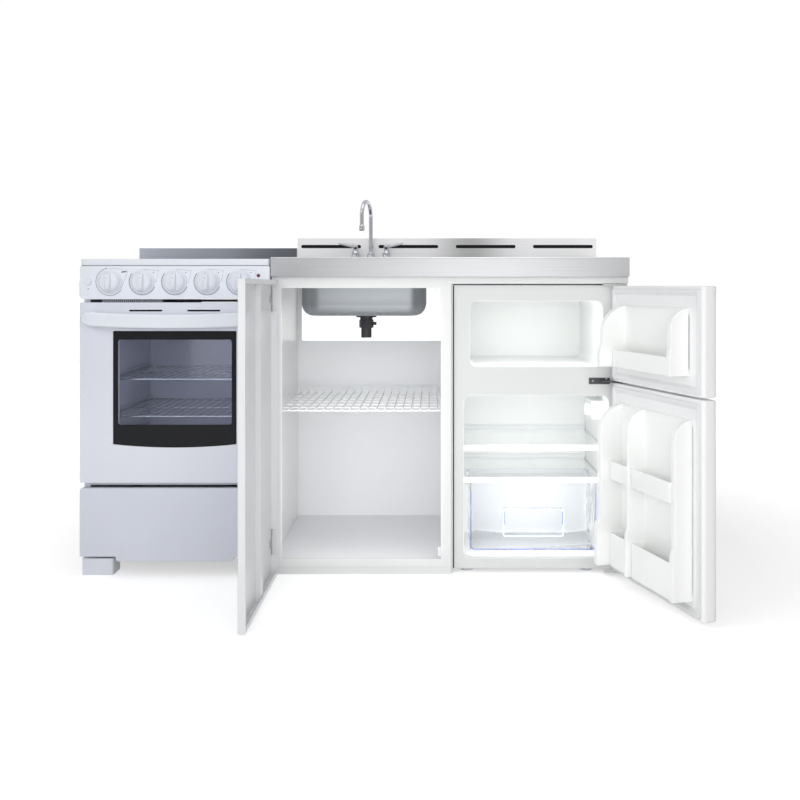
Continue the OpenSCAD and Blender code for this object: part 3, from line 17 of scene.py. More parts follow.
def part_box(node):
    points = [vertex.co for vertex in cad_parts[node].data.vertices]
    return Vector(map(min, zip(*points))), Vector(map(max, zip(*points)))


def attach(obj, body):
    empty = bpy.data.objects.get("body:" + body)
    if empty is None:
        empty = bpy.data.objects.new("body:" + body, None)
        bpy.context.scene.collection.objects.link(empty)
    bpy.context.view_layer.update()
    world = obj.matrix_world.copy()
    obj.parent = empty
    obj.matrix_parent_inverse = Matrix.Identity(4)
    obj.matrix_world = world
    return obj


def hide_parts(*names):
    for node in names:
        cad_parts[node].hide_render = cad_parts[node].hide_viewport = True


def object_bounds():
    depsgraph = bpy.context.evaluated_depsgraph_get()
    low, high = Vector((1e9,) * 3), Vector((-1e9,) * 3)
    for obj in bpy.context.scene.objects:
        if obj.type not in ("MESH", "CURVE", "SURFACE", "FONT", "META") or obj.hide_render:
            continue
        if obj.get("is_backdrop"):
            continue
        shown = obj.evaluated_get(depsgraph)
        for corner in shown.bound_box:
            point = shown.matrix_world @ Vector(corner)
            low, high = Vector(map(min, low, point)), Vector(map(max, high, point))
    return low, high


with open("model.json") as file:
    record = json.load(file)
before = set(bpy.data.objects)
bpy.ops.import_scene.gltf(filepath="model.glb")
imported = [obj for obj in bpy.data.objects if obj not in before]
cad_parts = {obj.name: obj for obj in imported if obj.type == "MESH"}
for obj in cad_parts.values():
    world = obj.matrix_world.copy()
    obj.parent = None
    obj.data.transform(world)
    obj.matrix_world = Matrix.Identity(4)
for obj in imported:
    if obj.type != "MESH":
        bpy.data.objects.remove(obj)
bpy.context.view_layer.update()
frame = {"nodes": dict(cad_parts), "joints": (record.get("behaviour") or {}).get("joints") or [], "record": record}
NODES = frame["nodes"]
BODIES = frame["record"]["behaviour"]["bodies"]
BODY_OF = {n: b for b, members in BODIES.items() for n in members}
JOINTS = {j["child"]: j for j in frame["joints"]}
MM = 0.001

# %% [markdown]
# ## Small tools
# Every later step needs three things: a way to write colours as they are read
# off a colour card, a way to turn an object with modifiers into a plain mesh,
# and a way to hand a piece to the body that carries it.


# %% Colours, plain meshes and riding
def card(r, g, b, a=1.0):
    """A colour of the card, 0 to 255, as the linear value the shader wants."""
    lin = [c / 12.92 if c <= 0.04045 else ((c + 0.055) / 1.055) ** 2.4
           for c in (r / 255, g / 255, b / 255)]
    return (*lin, a)


def put_in_scene(data, name):
    obj = bpy.data.objects.new(name, data)
    bpy.context.scene.collection.objects.link(obj)
    return obj


def plain_copy(obj, name):
    """The shape that the modifiers make, as a mesh of its own."""
    graph = bpy.context.evaluated_depsgraph_get()
    mesh = bpy.data.meshes.new_from_object(
        obj.evaluated_get(graph), preserve_all_data_layers=True, depsgraph=graph)
    made = put_in_scene(mesh, name)
    bpy.data.objects.remove(obj)
    return made


def from_bmesh(bm, name):
    mesh = bpy.data.meshes.new(name)
    bm.to_mesh(mesh)
    bm.free()
    return put_in_scene(mesh, name)


def smooth(obj, degrees=35):
    obj.data.polygons.foreach_set("use_smooth", [True] * len(obj.data.polygons))
    obj.data.set_sharp_from_angle(angle=math.radians(degrees))
    return obj


def hand_over(obj, body, finish, replaced=()):
    """Finish, body and the solids that the piece stands for."""
    if finish is not None:
        obj.data.materials.clear()
        obj.data.materials.append(finish)
    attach(obj, body)
    if replaced:
        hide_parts(*replaced)


# %% [markdown]
# ## Effects that several finishes share
# Enamel has a faint orange peel, brushed steel has a grain, cheap powder paint
# has a stipple and everything low down gathers a little dust. Each effect is a
# node group with its own inputs, so that a finish only sets how much it wants.


# %% A helper that builds node groups
def group_of(name, inputs, outputs):
    tree = bpy.data.node_groups.new(name, "ShaderNodeTree")
    for label, kind, value in inputs:
        sock = tree.interface.new_socket(label, in_out="INPUT", socket_type=kind)
        if value is not None:
            sock.default_value = value
    for label, kind in outputs:
        tree.interface.new_socket(label, in_out="OUTPUT", socket_type=kind)
    return tree, tree.nodes.new("NodeGroupInput"), tree.nodes.new("NodeGroupOutput")


def add(tree, kind, inputs=None, **props):
    """A node with its properties and plain input values; a socket is linked."""
    node = tree.nodes.new(kind)
    for key, value in props.items():
        setattr(node, key, value)
    for key, value in (inputs or {}).items():
        if isinstance(value, bpy.types.NodeSocket):
            tree.links.new(value, node.inputs[key])
        else:
            node.inputs[key].default_value = value
    return node


FLOAT, VECTOR = "NodeSocketFloat", "NodeSocketVector"

# %% Orange peel of enamel, and its slow change of shade
peel_tree, g_in, g_out = group_of(
    "orange_peel",
    [("Vector", VECTOR, None), ("Size", FLOAT, 0.004), ("Cloud", FLOAT, 0.03)],
    [("Shade", FLOAT), ("Height", FLOAT)])
inv = add(peel_tree, "ShaderNodeMath", {0: 1.0, 1: g_in.outputs["Size"]}, operation="DIVIDE")
fine = add(peel_tree, "ShaderNodeTexNoise",
           {"Vector": g_in.outputs["Vector"], "Scale": inv.outputs[0], "Detail": 2.0})
slow = add(peel_tree, "ShaderNodeTexNoise",
           {"Vector": g_in.outputs["Vector"], "Scale": 2.2, "Detail": 3.0})
centred = add(peel_tree, "ShaderNodeMath", {0: slow.outputs["Fac"], 1: 0.5},
              operation="SUBTRACT")
spread = add(peel_tree, "ShaderNodeMath",
             {0: centred.outputs[0], 1: g_in.outputs["Cloud"]}, operation="MULTIPLY")
shade = add(peel_tree, "ShaderNodeMath", {0: spread.outputs[0], 1: 1.0}, operation="ADD")
peel_tree.links.new(shade.outputs[0], g_out.inputs["Shade"])
peel_tree.links.new(fine.outputs["Fac"], g_out.inputs["Height"])

# %% Grain of brushed metal, stretched along one axis
grain_tree, g_in, g_out = group_of(
    "brushed_grain",
    [("Vector", VECTOR, None), ("Stretch", VECTOR, (4.0, 900.0, 900.0))],
    [("Streak", FLOAT), ("Height", FLOAT)])
stretched = add(grain_tree, "ShaderNodeVectorMath",
                {0: g_in.outputs["Vector"], 1: g_in.outputs["Stretch"]}, operation="MULTIPLY")
streak = add(grain_tree, "ShaderNodeTexNoise",
             {"Vector": stretched.outputs[0], "Scale": 1.0, "Detail": 4.0, "Roughness": 0.6})
grain_tree.links.new(streak.outputs["Fac"], g_out.inputs["Streak"])
grain_tree.links.new(streak.outputs["Fac"], g_out.inputs["Height"])

# %% Stipple of speckled paint and enamel
stipple_tree, g_in, g_out = group_of(
    "stipple",
    [("Vector", VECTOR, None), ("Per metre", FLOAT, 500.0), ("Share", FLOAT, 0.3)],
    [("Mask", FLOAT), ("Height", FLOAT)])
cells = add(stipple_tree, "ShaderNodeTexVoronoi",
            {"Vector": g_in.outputs["Vector"], "Scale": g_in.outputs["Per metre"]})
edge = add(stipple_tree, "ShaderNodeMapRange",
           {"Value": cells.outputs["Distance"], "From Min": 0.0,
            "From Max": g_in.outputs["Share"], "To Min": 1.0, "To Max": 0.0})
stipple_tree.links.new(edge.outputs[0], g_out.inputs["Mask"])
stipple_tree.links.new(edge.outputs[0], g_out.inputs["Height"])

# %% Dust that lies on low surfaces, in patches
dust_tree, g_in, g_out = group_of(
    "dust",
    [("Vector", VECTOR, None), ("Reach", FLOAT, 0.35), ("Amount", FLOAT, 0.3)],
    [("Mask", FLOAT)])
parts = add(dust_tree, "ShaderNodeSeparateXYZ", {0: g_in.outputs["Vector"]})
low = add(dust_tree, "ShaderNodeMapRange",
          {"Value": parts.outputs["Z"], "From Min": 0.0, "From Max": g_in.outputs["Reach"],
           "To Min": 1.0, "To Max": 0.0})
drift = add(dust_tree, "ShaderNodeTexNoise",
            {"Vector": g_in.outputs["Vector"], "Scale": 14.0, "Detail": 5.0})
both = add(dust_tree, "ShaderNodeMath", {0: low.outputs[0], 1: drift.outputs["Fac"]},
           operation="MULTIPLY")
share = add(dust_tree, "ShaderNodeMath", {0: both.outputs[0], 1: g_in.outputs["Amount"]},
            operation="MULTIPLY")
dust_tree.links.new(share.outputs[0], g_out.inputs["Mask"])

# %% Painted reflection: a broad light or dark patch of a room, painted into brushed steel's colour along X
painted_sheen_tree, g_in, g_out = group_of(
    "painted_room_sheen",
    [("Vector", VECTOR, None), ("Centre", FLOAT, 0.0), ("Width", FLOAT, 0.3),
     ("Ground", FLOAT, 1.0), ("Gain", FLOAT, 0.0)],
    [("Shade", FLOAT)])
parts = add(painted_sheen_tree, "ShaderNodeSeparateXYZ", {0: g_in.outputs["Vector"]})
away = add(painted_sheen_tree, "ShaderNodeMath",
           {0: parts.outputs["X"], 1: g_in.outputs["Centre"]}, operation="SUBTRACT")
steps = add(painted_sheen_tree, "ShaderNodeMath", {0: away.outputs[0], 1: g_in.outputs["Width"]},
            operation="DIVIDE")
square = add(painted_sheen_tree, "ShaderNodeMath", {0: steps.outputs[0], 1: steps.outputs[0]},
             operation="MULTIPLY")
less = add(painted_sheen_tree, "ShaderNodeMath", {0: 0.0, 1: square.outputs[0]}, operation="SUBTRACT")
bell = add(painted_sheen_tree, "ShaderNodeMath", {0: less.outputs[0]}, operation="EXPONENT")
gained = add(painted_sheen_tree, "ShaderNodeMath", {0: bell.outputs[0], 1: g_in.outputs["Gain"]},
             operation="MULTIPLY")
total = add(painted_sheen_tree, "ShaderNodeMath",
            {0: gained.outputs[0], 1: g_in.outputs["Ground"]}, operation="ADD")
painted_sheen_tree.links.new(total.outputs[0], g_out.inputs["Shade"])
print("effect groups", [t.name for t in bpy.data.node_groups])

# %% [markdown]
# ## Finishes
# Paints and plastics differ in colour, gloss and in how coarse their skin is,
# so one function mixes them from the shared effects. Metals take the brushed
# grain instead of the peel, and glass and clear plastic pass light.


# %% A finish for paints, enamels and plastics
def new_finish(name):
    mat = bpy.data.materials.new(name)
    mat.use_nodes = True
    tree = mat.node_tree
    shader = tree.nodes["Principled BSDF"]
    coords = add(tree, "ShaderNodeTexCoord").outputs["Object"]
    return mat, tree, shader, coords


def effect(tree, group, coords, **values):
    node = add(tree, "ShaderNodeGroup", node_tree=group)
    tree.links.new(coords, node.inputs["Vector"])
    for key, value in values.items():
        node.inputs[key.replace("_", " ")].default_value = value
    return node


def tinted(tree, colour, factor):
    """The colour times a factor that changes over the surface."""
    mix = add(tree, "ShaderNodeVectorMath", {0: colour[:3], 1: factor}, operation="MULTIPLY")
    return mix.outputs[0]


def towards(tree, base, other, mask):
    """The base colour, and the other one where the mask is 1."""
    mix = add(tree, "ShaderNodeMix", data_type="RGBA")
    tree.links.new(mask, mix.inputs[0])
    for index, value in ((6, base), (7, other)):
        if isinstance(value, bpy.types.NodeSocket):
            tree.links.new(value, mix.inputs[index])
        else:
            mix.inputs[index].default_value = value
    return mix.outputs[2]


def bumped(tree, shader, height, strength, distance):
    bump = add(tree, "ShaderNodeBump", {"Strength": strength, "Distance": distance,
                                        "Height": height})
    tree.links.new(bump.outputs[0], shader.inputs["Normal"])


def painted(name, colour, rough=0.35, coat=0.0, peel=0.004, cloud=0.03, bump=0.15,
            dust=0.25, dust_colour=card(150, 147, 142)):
    mat, tree, shader, coords = new_finish(name)
    skin = effect(tree, peel_tree, coords, Size=peel, Cloud=cloud)
    base = tinted(tree, colour, skin.outputs["Shade"])
    fall = effect(tree, dust_tree, coords, Amount=dust)
    tree.links.new(towards(tree, base, dust_colour, fall.outputs["Mask"]),
                   shader.inputs["Base Color"])
    gloss = add(tree, "ShaderNodeMapRange",
                {"Value": skin.outputs["Height"], "To Min": rough - 0.04, "To Max": rough + 0.06})
    tree.links.new(gloss.outputs[0], shader.inputs["Roughness"])
    shader.inputs["Coat Weight"].default_value = coat
    shader.inputs["Coat Roughness"].default_value = 0.12
    bumped(tree, shader, skin.outputs["Height"], bump, 0.0004)
    return mat


# %% Paints, enamels and plastics of the unit
white_enamel = painted("white_enamel", card(236, 237, 237), rough=0.3, coat=0.25, dust=0.1)
door_enamel = painted("sink_door_enamel", card(238, 239, 241), rough=0.36, coat=0.1, dust=0.08)
cooker_enamel = painted("cooker_enamel", card(230, 233, 243), rough=0.22, coat=0.5, dust=0.12)
# The hob's enamel is the cooker's enamel made lighter: painted light on the tilted control panel and the hob. The
# drawer's enamel is the same made darker: painted shade on the drawer front.
enamel_lit_hob = painted("enamel_lit_hob", card(240, 244, 252), rough=0.22, coat=0.5, dust=0.0)
enamel_shaded_drawer = painted("enamel_shaded_drawer", card(220, 224, 235), rough=0.24, coat=0.45, dust=0.15)
cooker_plastic = painted("cooker_plastic", card(236, 240, 249), rough=0.34, peel=0.0015)
bare_primer = painted("bare_primer", card(196, 198, 203), rough=0.5, dust=0.3)
fridge_paint = painted("fridge_paint", card(226, 227, 227), rough=0.38, peel=0.0025, bump=0.35,
                       coat=0.1, dust=0.06)
# The doors' paint and lining are lighter copies of the case's paint and of the liner's plastic: painted light on
# the doors, which turn away from the main lamps.
paint_lit_doors = painted("fridge_paint_lit_doors", card(249, 249, 250), rough=0.38, peel=0.0025, bump=0.35,
                     coat=0.1, dust=0.0)
lining_lit_doors = painted("lining_lit_doors_plastic", card(252, 253, 252), rough=0.3, peel=0.008,
                      bump=0.05, cloud=0.02, dust=0.0)
liner_plastic = painted("liner_plastic", card(246, 248, 247), rough=0.3, peel=0.008, bump=0.05,
                        cloud=0.02, dust=0.0)
black_plastic = painted("black_plastic", card(44, 45, 48), rough=0.42, peel=0.0012, bump=0.3,
                        dust=0.05)
dark_plate = painted("dark_plate", card(66, 67, 70), rough=0.4, peel=0.002)
black_metal = painted("black_metal", card(33, 34, 36), rough=0.38, peel=0.003, bump=0.2)
white_plastic = painted("white_plastic", card(238, 240, 242), rough=0.35, peel=0.0012)
dipped_wire = painted("dipped_wire", card(244, 245, 246), rough=0.32, peel=0.003, dust=0.0)
seal_rubber = painted("seal_rubber", card(238, 239, 240), rough=0.55, peel=0.001, bump=0.25)


# %% Stippled grey paint inside the cabinet
def stippled(name, ground, speck, rough, per_metre=520.0, share=0.28, bump=0.4):
    mat, tree, shader, coords = new_finish(name)
    dots = effect(tree, stipple_tree, coords, Per_metre=per_metre, Share=share)
    skin = effect(tree, peel_tree, coords, Size=0.02, Cloud=0.05)
    base = tinted(tree, ground, skin.outputs["Shade"])
    tree.links.new(towards(tree, base, speck, dots.outputs["Mask"]), shader.inputs["Base Color"])
    gloss = add(tree, "ShaderNodeMapRange",
                {"Value": dots.outputs["Mask"], "To Min": rough, "To Max": rough + 0.12})
    tree.links.new(gloss.outputs[0], shader.inputs["Roughness"])
    bumped(tree, shader, dots.outputs["Height"], bump, 0.0002)
    return mat


cabinet_grey = stippled("cabinet_grey", card(240, 241, 243), card(222, 224, 227), 0.45)
oven_enamel = stippled("oven_enamel", card(176, 180, 196), card(214, 218, 228), 0.25,
                       per_metre=260.0, share=0.16, bump=0.1)
woven_seal = stippled("woven_seal", card(92, 93, 96), card(140, 141, 144), 0.8,
                      per_metre=420.0, share=0.5, bump=0.9)


# %% Metals with a brushed grain
def metal(name, colour, rough, stretch=(4.0, 900.0, 900.0), streaks=0.12, bump=0.06,
          shine=1.0, uneven=0.08, reflection_patch=(0.0, 0.3, 1.0, 0.0)):
    mat, tree, shader, coords = new_finish(name)
    grain = effect(tree, grain_tree, coords, Stretch=stretch)
    cloud = effect(tree, peel_tree, coords, Size=0.05, Cloud=uneven)
    tone = add(tree, "ShaderNodeMapRange",
               {"Value": grain.outputs["Streak"], "To Min": 1.0 - streaks, "To Max": 1.0 + streaks})
    both = add(tree, "ShaderNodeMath", {0: tone.outputs[0], 1: cloud.outputs["Shade"]},
               operation="MULTIPLY")
    # A band of painted reflection along X lightens or darkens the steel's colour
    room = effect(tree, painted_sheen_tree, coords, Centre=reflection_patch[0], Width=reflection_patch[1], Ground=reflection_patch[2],
                  Gain=reflection_patch[3])
    both = add(tree, "ShaderNodeMath", {0: both.outputs[0], 1: room.outputs["Shade"]},
               operation="MULTIPLY")
    tree.links.new(tinted(tree, colour, both.outputs[0]), shader.inputs["Base Color"])
    gloss = add(tree, "ShaderNodeMapRange",
                {"Value": grain.outputs["Streak"], "To Min": rough - 0.05, "To Max": rough + 0.1})
    tree.links.new(gloss.outputs[0], shader.inputs["Roughness"])
    shader.inputs["Metallic"].default_value = shine
    bumped(tree, shader, grain.outputs["Height"], bump, 0.0002)
    return mat


# Painted reflection in the steels: a light band across the worktop, a dark dip on the splash and a darker end on
# the cooker's rear strip
worktop_steel = metal("worktop_steel", card(236, 238, 240), 0.34, reflection_patch=(0.1, 0.36, 0.56, 0.4))
splash_steel = metal("splash_steel", card(250, 250, 251), 0.3, reflection_patch=(0.07, 0.11, 1.0, -0.5))
bowl_steel = metal("bowl_steel", card(168, 172, 176), 0.36, stretch=(60.0, 60.0, 500.0),
                   streaks=0.08)
strip_steel = metal("strip_steel", card(214, 219, 231), 0.3, reflection_patch=(-0.45, 0.4, 1.0, -0.8))
bright_chrome = metal("bright_chrome", card(196, 198, 203), 0.08, stretch=(40.0, 40.0, 40.0),
                      streaks=0.02, bump=0.0)
bowl_chrome = metal("drip_bowl_chrome", card(198, 200, 205), 0.14, stretch=(60.0, 60.0, 60.0),
                    streaks=0.05)
hinge_steel = metal("hinge_steel", card(196, 198, 200), 0.3, stretch=(300.0, 300.0, 20.0))
coil_sheath = metal("coil_sheath", card(58, 57, 60), 0.5, stretch=(70.0, 70.0, 200.0),
                    streaks=0.25, shine=0.7)
element_sheath = metal("element_sheath", card(92, 90, 92), 0.45, stretch=(70.0, 70.0, 200.0),
                       streaks=0.2, shine=0.8)
rack_steel = metal("rack_steel", card(190, 193, 198), 0.22, stretch=(90.0, 90.0, 90.0))


# %% Glass and clear plastic
def clear(name, colour, rough, ior):
    mat, tree, shader, coords = new_finish(name)
    skin = effect(tree, peel_tree, coords, Size=0.03, Cloud=0.02)
    tree.links.new(tinted(tree, colour, skin.outputs["Shade"]), shader.inputs["Base Color"])
    gloss = add(tree, "ShaderNodeMapRange",
                {"Value": skin.outputs["Height"], "To Min": rough, "To Max": rough + 0.03})
    tree.links.new(gloss.outputs[0], shader.inputs["Roughness"])
    shader.inputs["Transmission Weight"].default_value = 1.0
    shader.inputs["IOR"].default_value = ior
    path = add(tree, "ShaderNodeLightPath")
    seen = add(tree, "ShaderNodeMath", {0: path.outputs["Is Camera Ray"],
                                        1: path.outputs["Is Glossy Ray"]}, operation="MAXIMUM")
    seen = add(tree, "ShaderNodeMath", {0: seen.outputs[0],
                                        1: path.outputs["Is Transmission Ray"]},
               operation="MAXIMUM")
    solid = add(tree, "ShaderNodeMapRange", {"Value": seen.outputs[0], "To Min": 0.1,
                                             "To Max": 1.0})
    tree.links.new(solid.outputs[0], shader.inputs["Alpha"])
    return mat


shelf_glass = clear("shelf_glass", card(249, 251, 251), 0.02, 1.12)
crisper_plastic = clear("crisper_plastic", card(252, 253, 255), 0.05, 1.03)
crisper_edge = painted("crisper_edge", card(84, 104, 196), rough=0.2, peel=0.003, dust=0.0)
crisper_rim = painted("crisper_rim", card(198, 207, 226), rough=0.2, peel=0.003, dust=0.0)
window_clear = clear("window_clear", card(236, 238, 244), 0.02, 1.2)
lamp_cover = clear("lamp_cover", card(250, 248, 240), 0.1, 1.3)
handle_enamel = painted("handle_enamel", card(238, 242, 250), rough=0.24, coat=0.4, dust=0.0)
window_black = painted("window_black", card(27, 28, 31), rough=0.12, peel=0.02, bump=0.02,
                       dust=0.0)
window_black.node_tree.nodes["Principled BSDF"].inputs["Specular IOR Level"].default_value = 0.12
pilot_red = painted("pilot_red", card(104, 22, 46), rough=0.15, coat=0.6, peel=0.01, bump=0.02)
print("finishes", len(bpy.data.materials))

# %% [markdown]
# ## Turned, swept and lofted shapes
# Knobs, taps and lamps are turned on a lathe, pipes and seals are one section
# carried along a path, and a lever or a grip is a row of sections joined up.
# All three are rings of points with quads between them, so one function joins
# the rings and the others only place them.


# %% Rings joined into a skin
def skin(bm, rings, closed_loop=False):
    """Quads between rings of equal length; the ends are closed, or joined."""
    rows = [[bm.verts.new(p) for p in ring] for ring in rings]
    count = len(rows[0])
    pairs = list(zip(rows, rows[1:] + rows[:1])) if closed_loop else list(zip(rows, rows[1:]))
    for a, b in pairs:
        for i in range(count):
            j = (i + 1) % count
            bm.faces.new((a[i], a[j], b[j], b[i]))
    if not closed_loop:
        bm.faces.new(list(reversed(rows[0])))
        bm.faces.new(rows[-1])


def outward(bm):
    bmesh.ops.remove_doubles(bm, verts=bm.verts, dist=1e-7)
    bmesh.ops.recalc_face_normals(bm, faces=bm.faces)


# %% Lathe
def turned(bm, profile, place, sides=48):
    """Radius and height pairs in millimetres, turned about Z and put in place."""
    rings = []
    for r, h in profile:
        r, h = max(r * MM, 1e-5), h * MM
        rings.append([place @ Vector((r * math.cos(math.tau * i / sides),
                                      r * math.sin(math.tau * i / sides), h))
                      for i in range(sides)])
    skin(bm, rings)


def facing(direction, place):
    """A matrix that turns Z to the direction and moves it to the place."""
    turn = Vector(direction).to_track_quat("Z", "Y").to_matrix().to_4x4()
    return Matrix.Translation(Vector(place)) @ turn


# %% Section carried along a path
def swept(bm, path, radius, sides=20):
    """A round tube along points, its section carried without a twist."""
    count = len(path)
    tangent = [(path[min(i + 1, count - 1)] - path[max(i - 1, 0)]).normalized()
               for i in range(count)]
    side = tangent[0].orthogonal().normalized()
    rings = []
    for p, t in zip(path, tangent):
        side = (side - t * side.dot(t)).normalized()
        up = t.cross(side)
        rings.append([p + side * radius * math.cos(math.tau * i / sides)
                      + up * radius * math.sin(math.tau * i / sides)
                      for i in range(sides)])
    skin(bm, rings)


# %% Rounded rectangle and plates
def round_rect(w, h, r, steps=6):
    """Corner by corner, anticlockwise, centred on the origin."""
    points = []
    for cx, cy, a0 in ((w / 2 - r, h / 2 - r, 0), (-w / 2 + r, h / 2 - r, 90),
                       (-w / 2 + r, -h / 2 + r, 180), (w / 2 - r, -h / 2 + r, 270)):
        for k in range(steps + 1):
            a = math.radians(a0 + 90 * k / steps)
            points.append((cx + r * math.cos(a), cy + r * math.sin(a)))
    return points


def front_ring(x0, x1, z0, z1, r, y, steps=6):
    """Rounded rectangle that faces the front, at depth y; millimetres."""
    cx, cz = (x0 + x1) / 2, (z0 + z1) / 2
    return [Vector((cx + a, y, cz + b)) * MM for a, b in round_rect(x1 - x0, z1 - z0, r, steps)]


def plan_ring(x0, x1, y0, y1, r, z, steps=6):
    cx, cy = (x0 + x1) / 2, (y0 + y1) / 2
    return [Vector((cx + a, cy + b, z)) * MM for a, b in round_rect(x1 - x0, y1 - y0, r, steps)]


# %% [markdown]
# ## Geometry Nodes for what repeats
# A wire shelf is one wire many times over, and a machine has one kind of screw
# in a dozen places. Copying by hand would hide the rule, so two small node
# trees carry it: a row of wires, and a fastener on every marked point. Each
# takes its sizes as named inputs and ends in real, plain mesh.


# %% Build and run a node tree
def tree_of(name, inputs):
    tree = bpy.data.node_groups.new(name, "GeometryNodeTree")
    tree.interface.new_socket("Geometry", in_out="INPUT", socket_type="NodeSocketGeometry")
    for label, kind, value in inputs:
        sock = tree.interface.new_socket(label, in_out="INPUT", socket_type=kind)
        if value is not None:
            sock.default_value = value
    tree.interface.new_socket("Geometry", in_out="OUTPUT", socket_type="NodeSocketGeometry")
    return tree, tree.nodes.new("NodeGroupInput"), tree.nodes.new("NodeGroupOutput")


def grown(start, tree, name, **values):
    """What the tree makes of the start object, as a plain mesh."""
    mod = start.modifiers.new(name, "NODES")
    mod.node_group = tree
    ids = {s.name: s.identifier for s in tree.interface.items_tree
           if s.item_type == "SOCKET" and s.in_out == "INPUT"}
    for key, value in values.items():
        mod[ids[key.replace("_", " ")]] = value
    start.update_tag()
    bpy.context.view_layer.update()
    return plain_copy(start, name)


def poly_curve(points, name):
    """An open curve through points given in millimetres."""
    data = bpy.data.curves.new(name, "CURVE")
    data.dimensions = "3D"
    line = data.splines.new("POLY")
    line.points.add(len(points) - 1)
    for slot, p in zip(line.points, points):
        slot.co = (p[0] * MM, p[1] * MM, p[2] * MM, 1)
    return put_in_scene(data, name)


# %% Row of wires: one bent wire, repeated with a step
wires, g_in, g_out = tree_of("wire_row", [
    ("Count", "NodeSocketInt", 2), ("Step", "NodeSocketVector", (0.02, 0, 0)),
    ("Radius", "NodeSocketFloat", 0.002), ("Sides", "NodeSocketInt", 10),
    ("Top", "NodeSocketFloat", 10.0), ("Finish", "NodeSocketMaterial", None)])
section = add(wires, "GeometryNodeCurvePrimitiveCircle",
              {"Resolution": g_in.outputs["Sides"], "Radius": g_in.outputs["Radius"]})
tube = add(wires, "GeometryNodeCurveToMesh",
           {"Curve": g_in.outputs["Geometry"], "Profile Curve": section.outputs[0],
            "Fill Caps": True})
spot = add(wires, "GeometryNodeInputPosition")
split = add(wires, "ShaderNodeSeparateXYZ", {0: spot.outputs[0]})
cap = add(wires, "ShaderNodeMath", {0: split.outputs["Z"], 1: g_in.outputs["Top"]},
          operation="MINIMUM")
flat = add(wires, "ShaderNodeCombineXYZ",
           {"X": split.outputs["X"], "Y": split.outputs["Y"], "Z": cap.outputs[0]})
planed = add(wires, "GeometryNodeSetPosition",
             {"Geometry": tube.outputs[0], "Position": flat.outputs[0]})
row = add(wires, "GeometryNodeMeshLine",
          {"Count": g_in.outputs["Count"], "Offset": g_in.outputs["Step"]}, mode="OFFSET")
many = add(wires, "GeometryNodeInstanceOnPoints",
           {"Points": row.outputs[0], "Instance": planed.outputs[0]})
real = add(wires, "GeometryNodeRealizeInstances", {0: many.outputs[0]})
soft = add(wires, "GeometryNodeSetShadeSmooth", {0: real.outputs[0]})
done = add(wires, "GeometryNodeSetMaterial",
           {"Geometry": soft.outputs[0], "Material": g_in.outputs["Finish"]})
wires.links.new(done.outputs[0], g_out.inputs[0])


def wire_row(points, name, radius, finish, count=1, step=(0, 0, 0), sides=10, top=None):
    """Millimetres in; the row as a plain object."""
    return grown(poly_curve(points, name + "_path"), wires, name, Count=count,
                 Step=[s * MM for s in step], Radius=radius * MM, Sides=sides,
                 Top=(top if top is not None else 9000.0) * MM, Finish=finish)


def joined(objs, name):
    """Several plain objects as one mesh; their materials are kept."""
    bm = bmesh.new()
    finishes = []
    for o in objs:
        shift = len(finishes)
        finishes += list(o.data.materials)
        start = len(bm.faces)
        bm.from_mesh(o.data)
        bm.faces.ensure_lookup_table()
        for f in bm.faces[start:]:
            f.material_index += shift
        bpy.data.objects.remove(o)
    made = from_bmesh(bm, name)
    unique = []
    for m in finishes:
        if m not in unique:
            unique.append(m)
    for m in unique:
        made.data.materials.append(m)
    table = [unique.index(m) for m in finishes]
    for p in made.data.polygons:
        p.material_index = table[p.material_index] if table else 0
    return made


# %% Fasteners on marked points
fasteners, g_in, g_out = tree_of("fasteners", [
    ("Head", "NodeSocketObject", None), ("Size", "NodeSocketFloat", 1.0),
    ("Finish", "NodeSocketMaterial", None)])
head = add(fasteners, "GeometryNodeObjectInfo", {"Object": g_in.outputs["Head"]})
normal = add(fasteners, "GeometryNodeInputNamedAttribute", {"Name": "facing"},
             data_type="FLOAT_VECTOR")
turn = add(fasteners, "FunctionNodeAlignRotationToVector",
           {"Vector": normal.outputs["Attribute"]}, axis="Z")
put = add(fasteners, "GeometryNodeInstanceOnPoints",
          {"Points": g_in.outputs["Geometry"], "Instance": head.outputs["Geometry"],
           "Rotation": turn.outputs[0], "Scale": g_in.outputs["Size"]})
real = add(fasteners, "GeometryNodeRealizeInstances", {0: put.outputs[0]})
mark = add(fasteners, "GeometryNodeSetMaterial", {"Geometry": real.outputs[0]})
fasteners.links.new(g_in.outputs["Finish"], mark.inputs["Material"])
fasteners.links.new(mark.outputs[0], g_out.inputs[0])


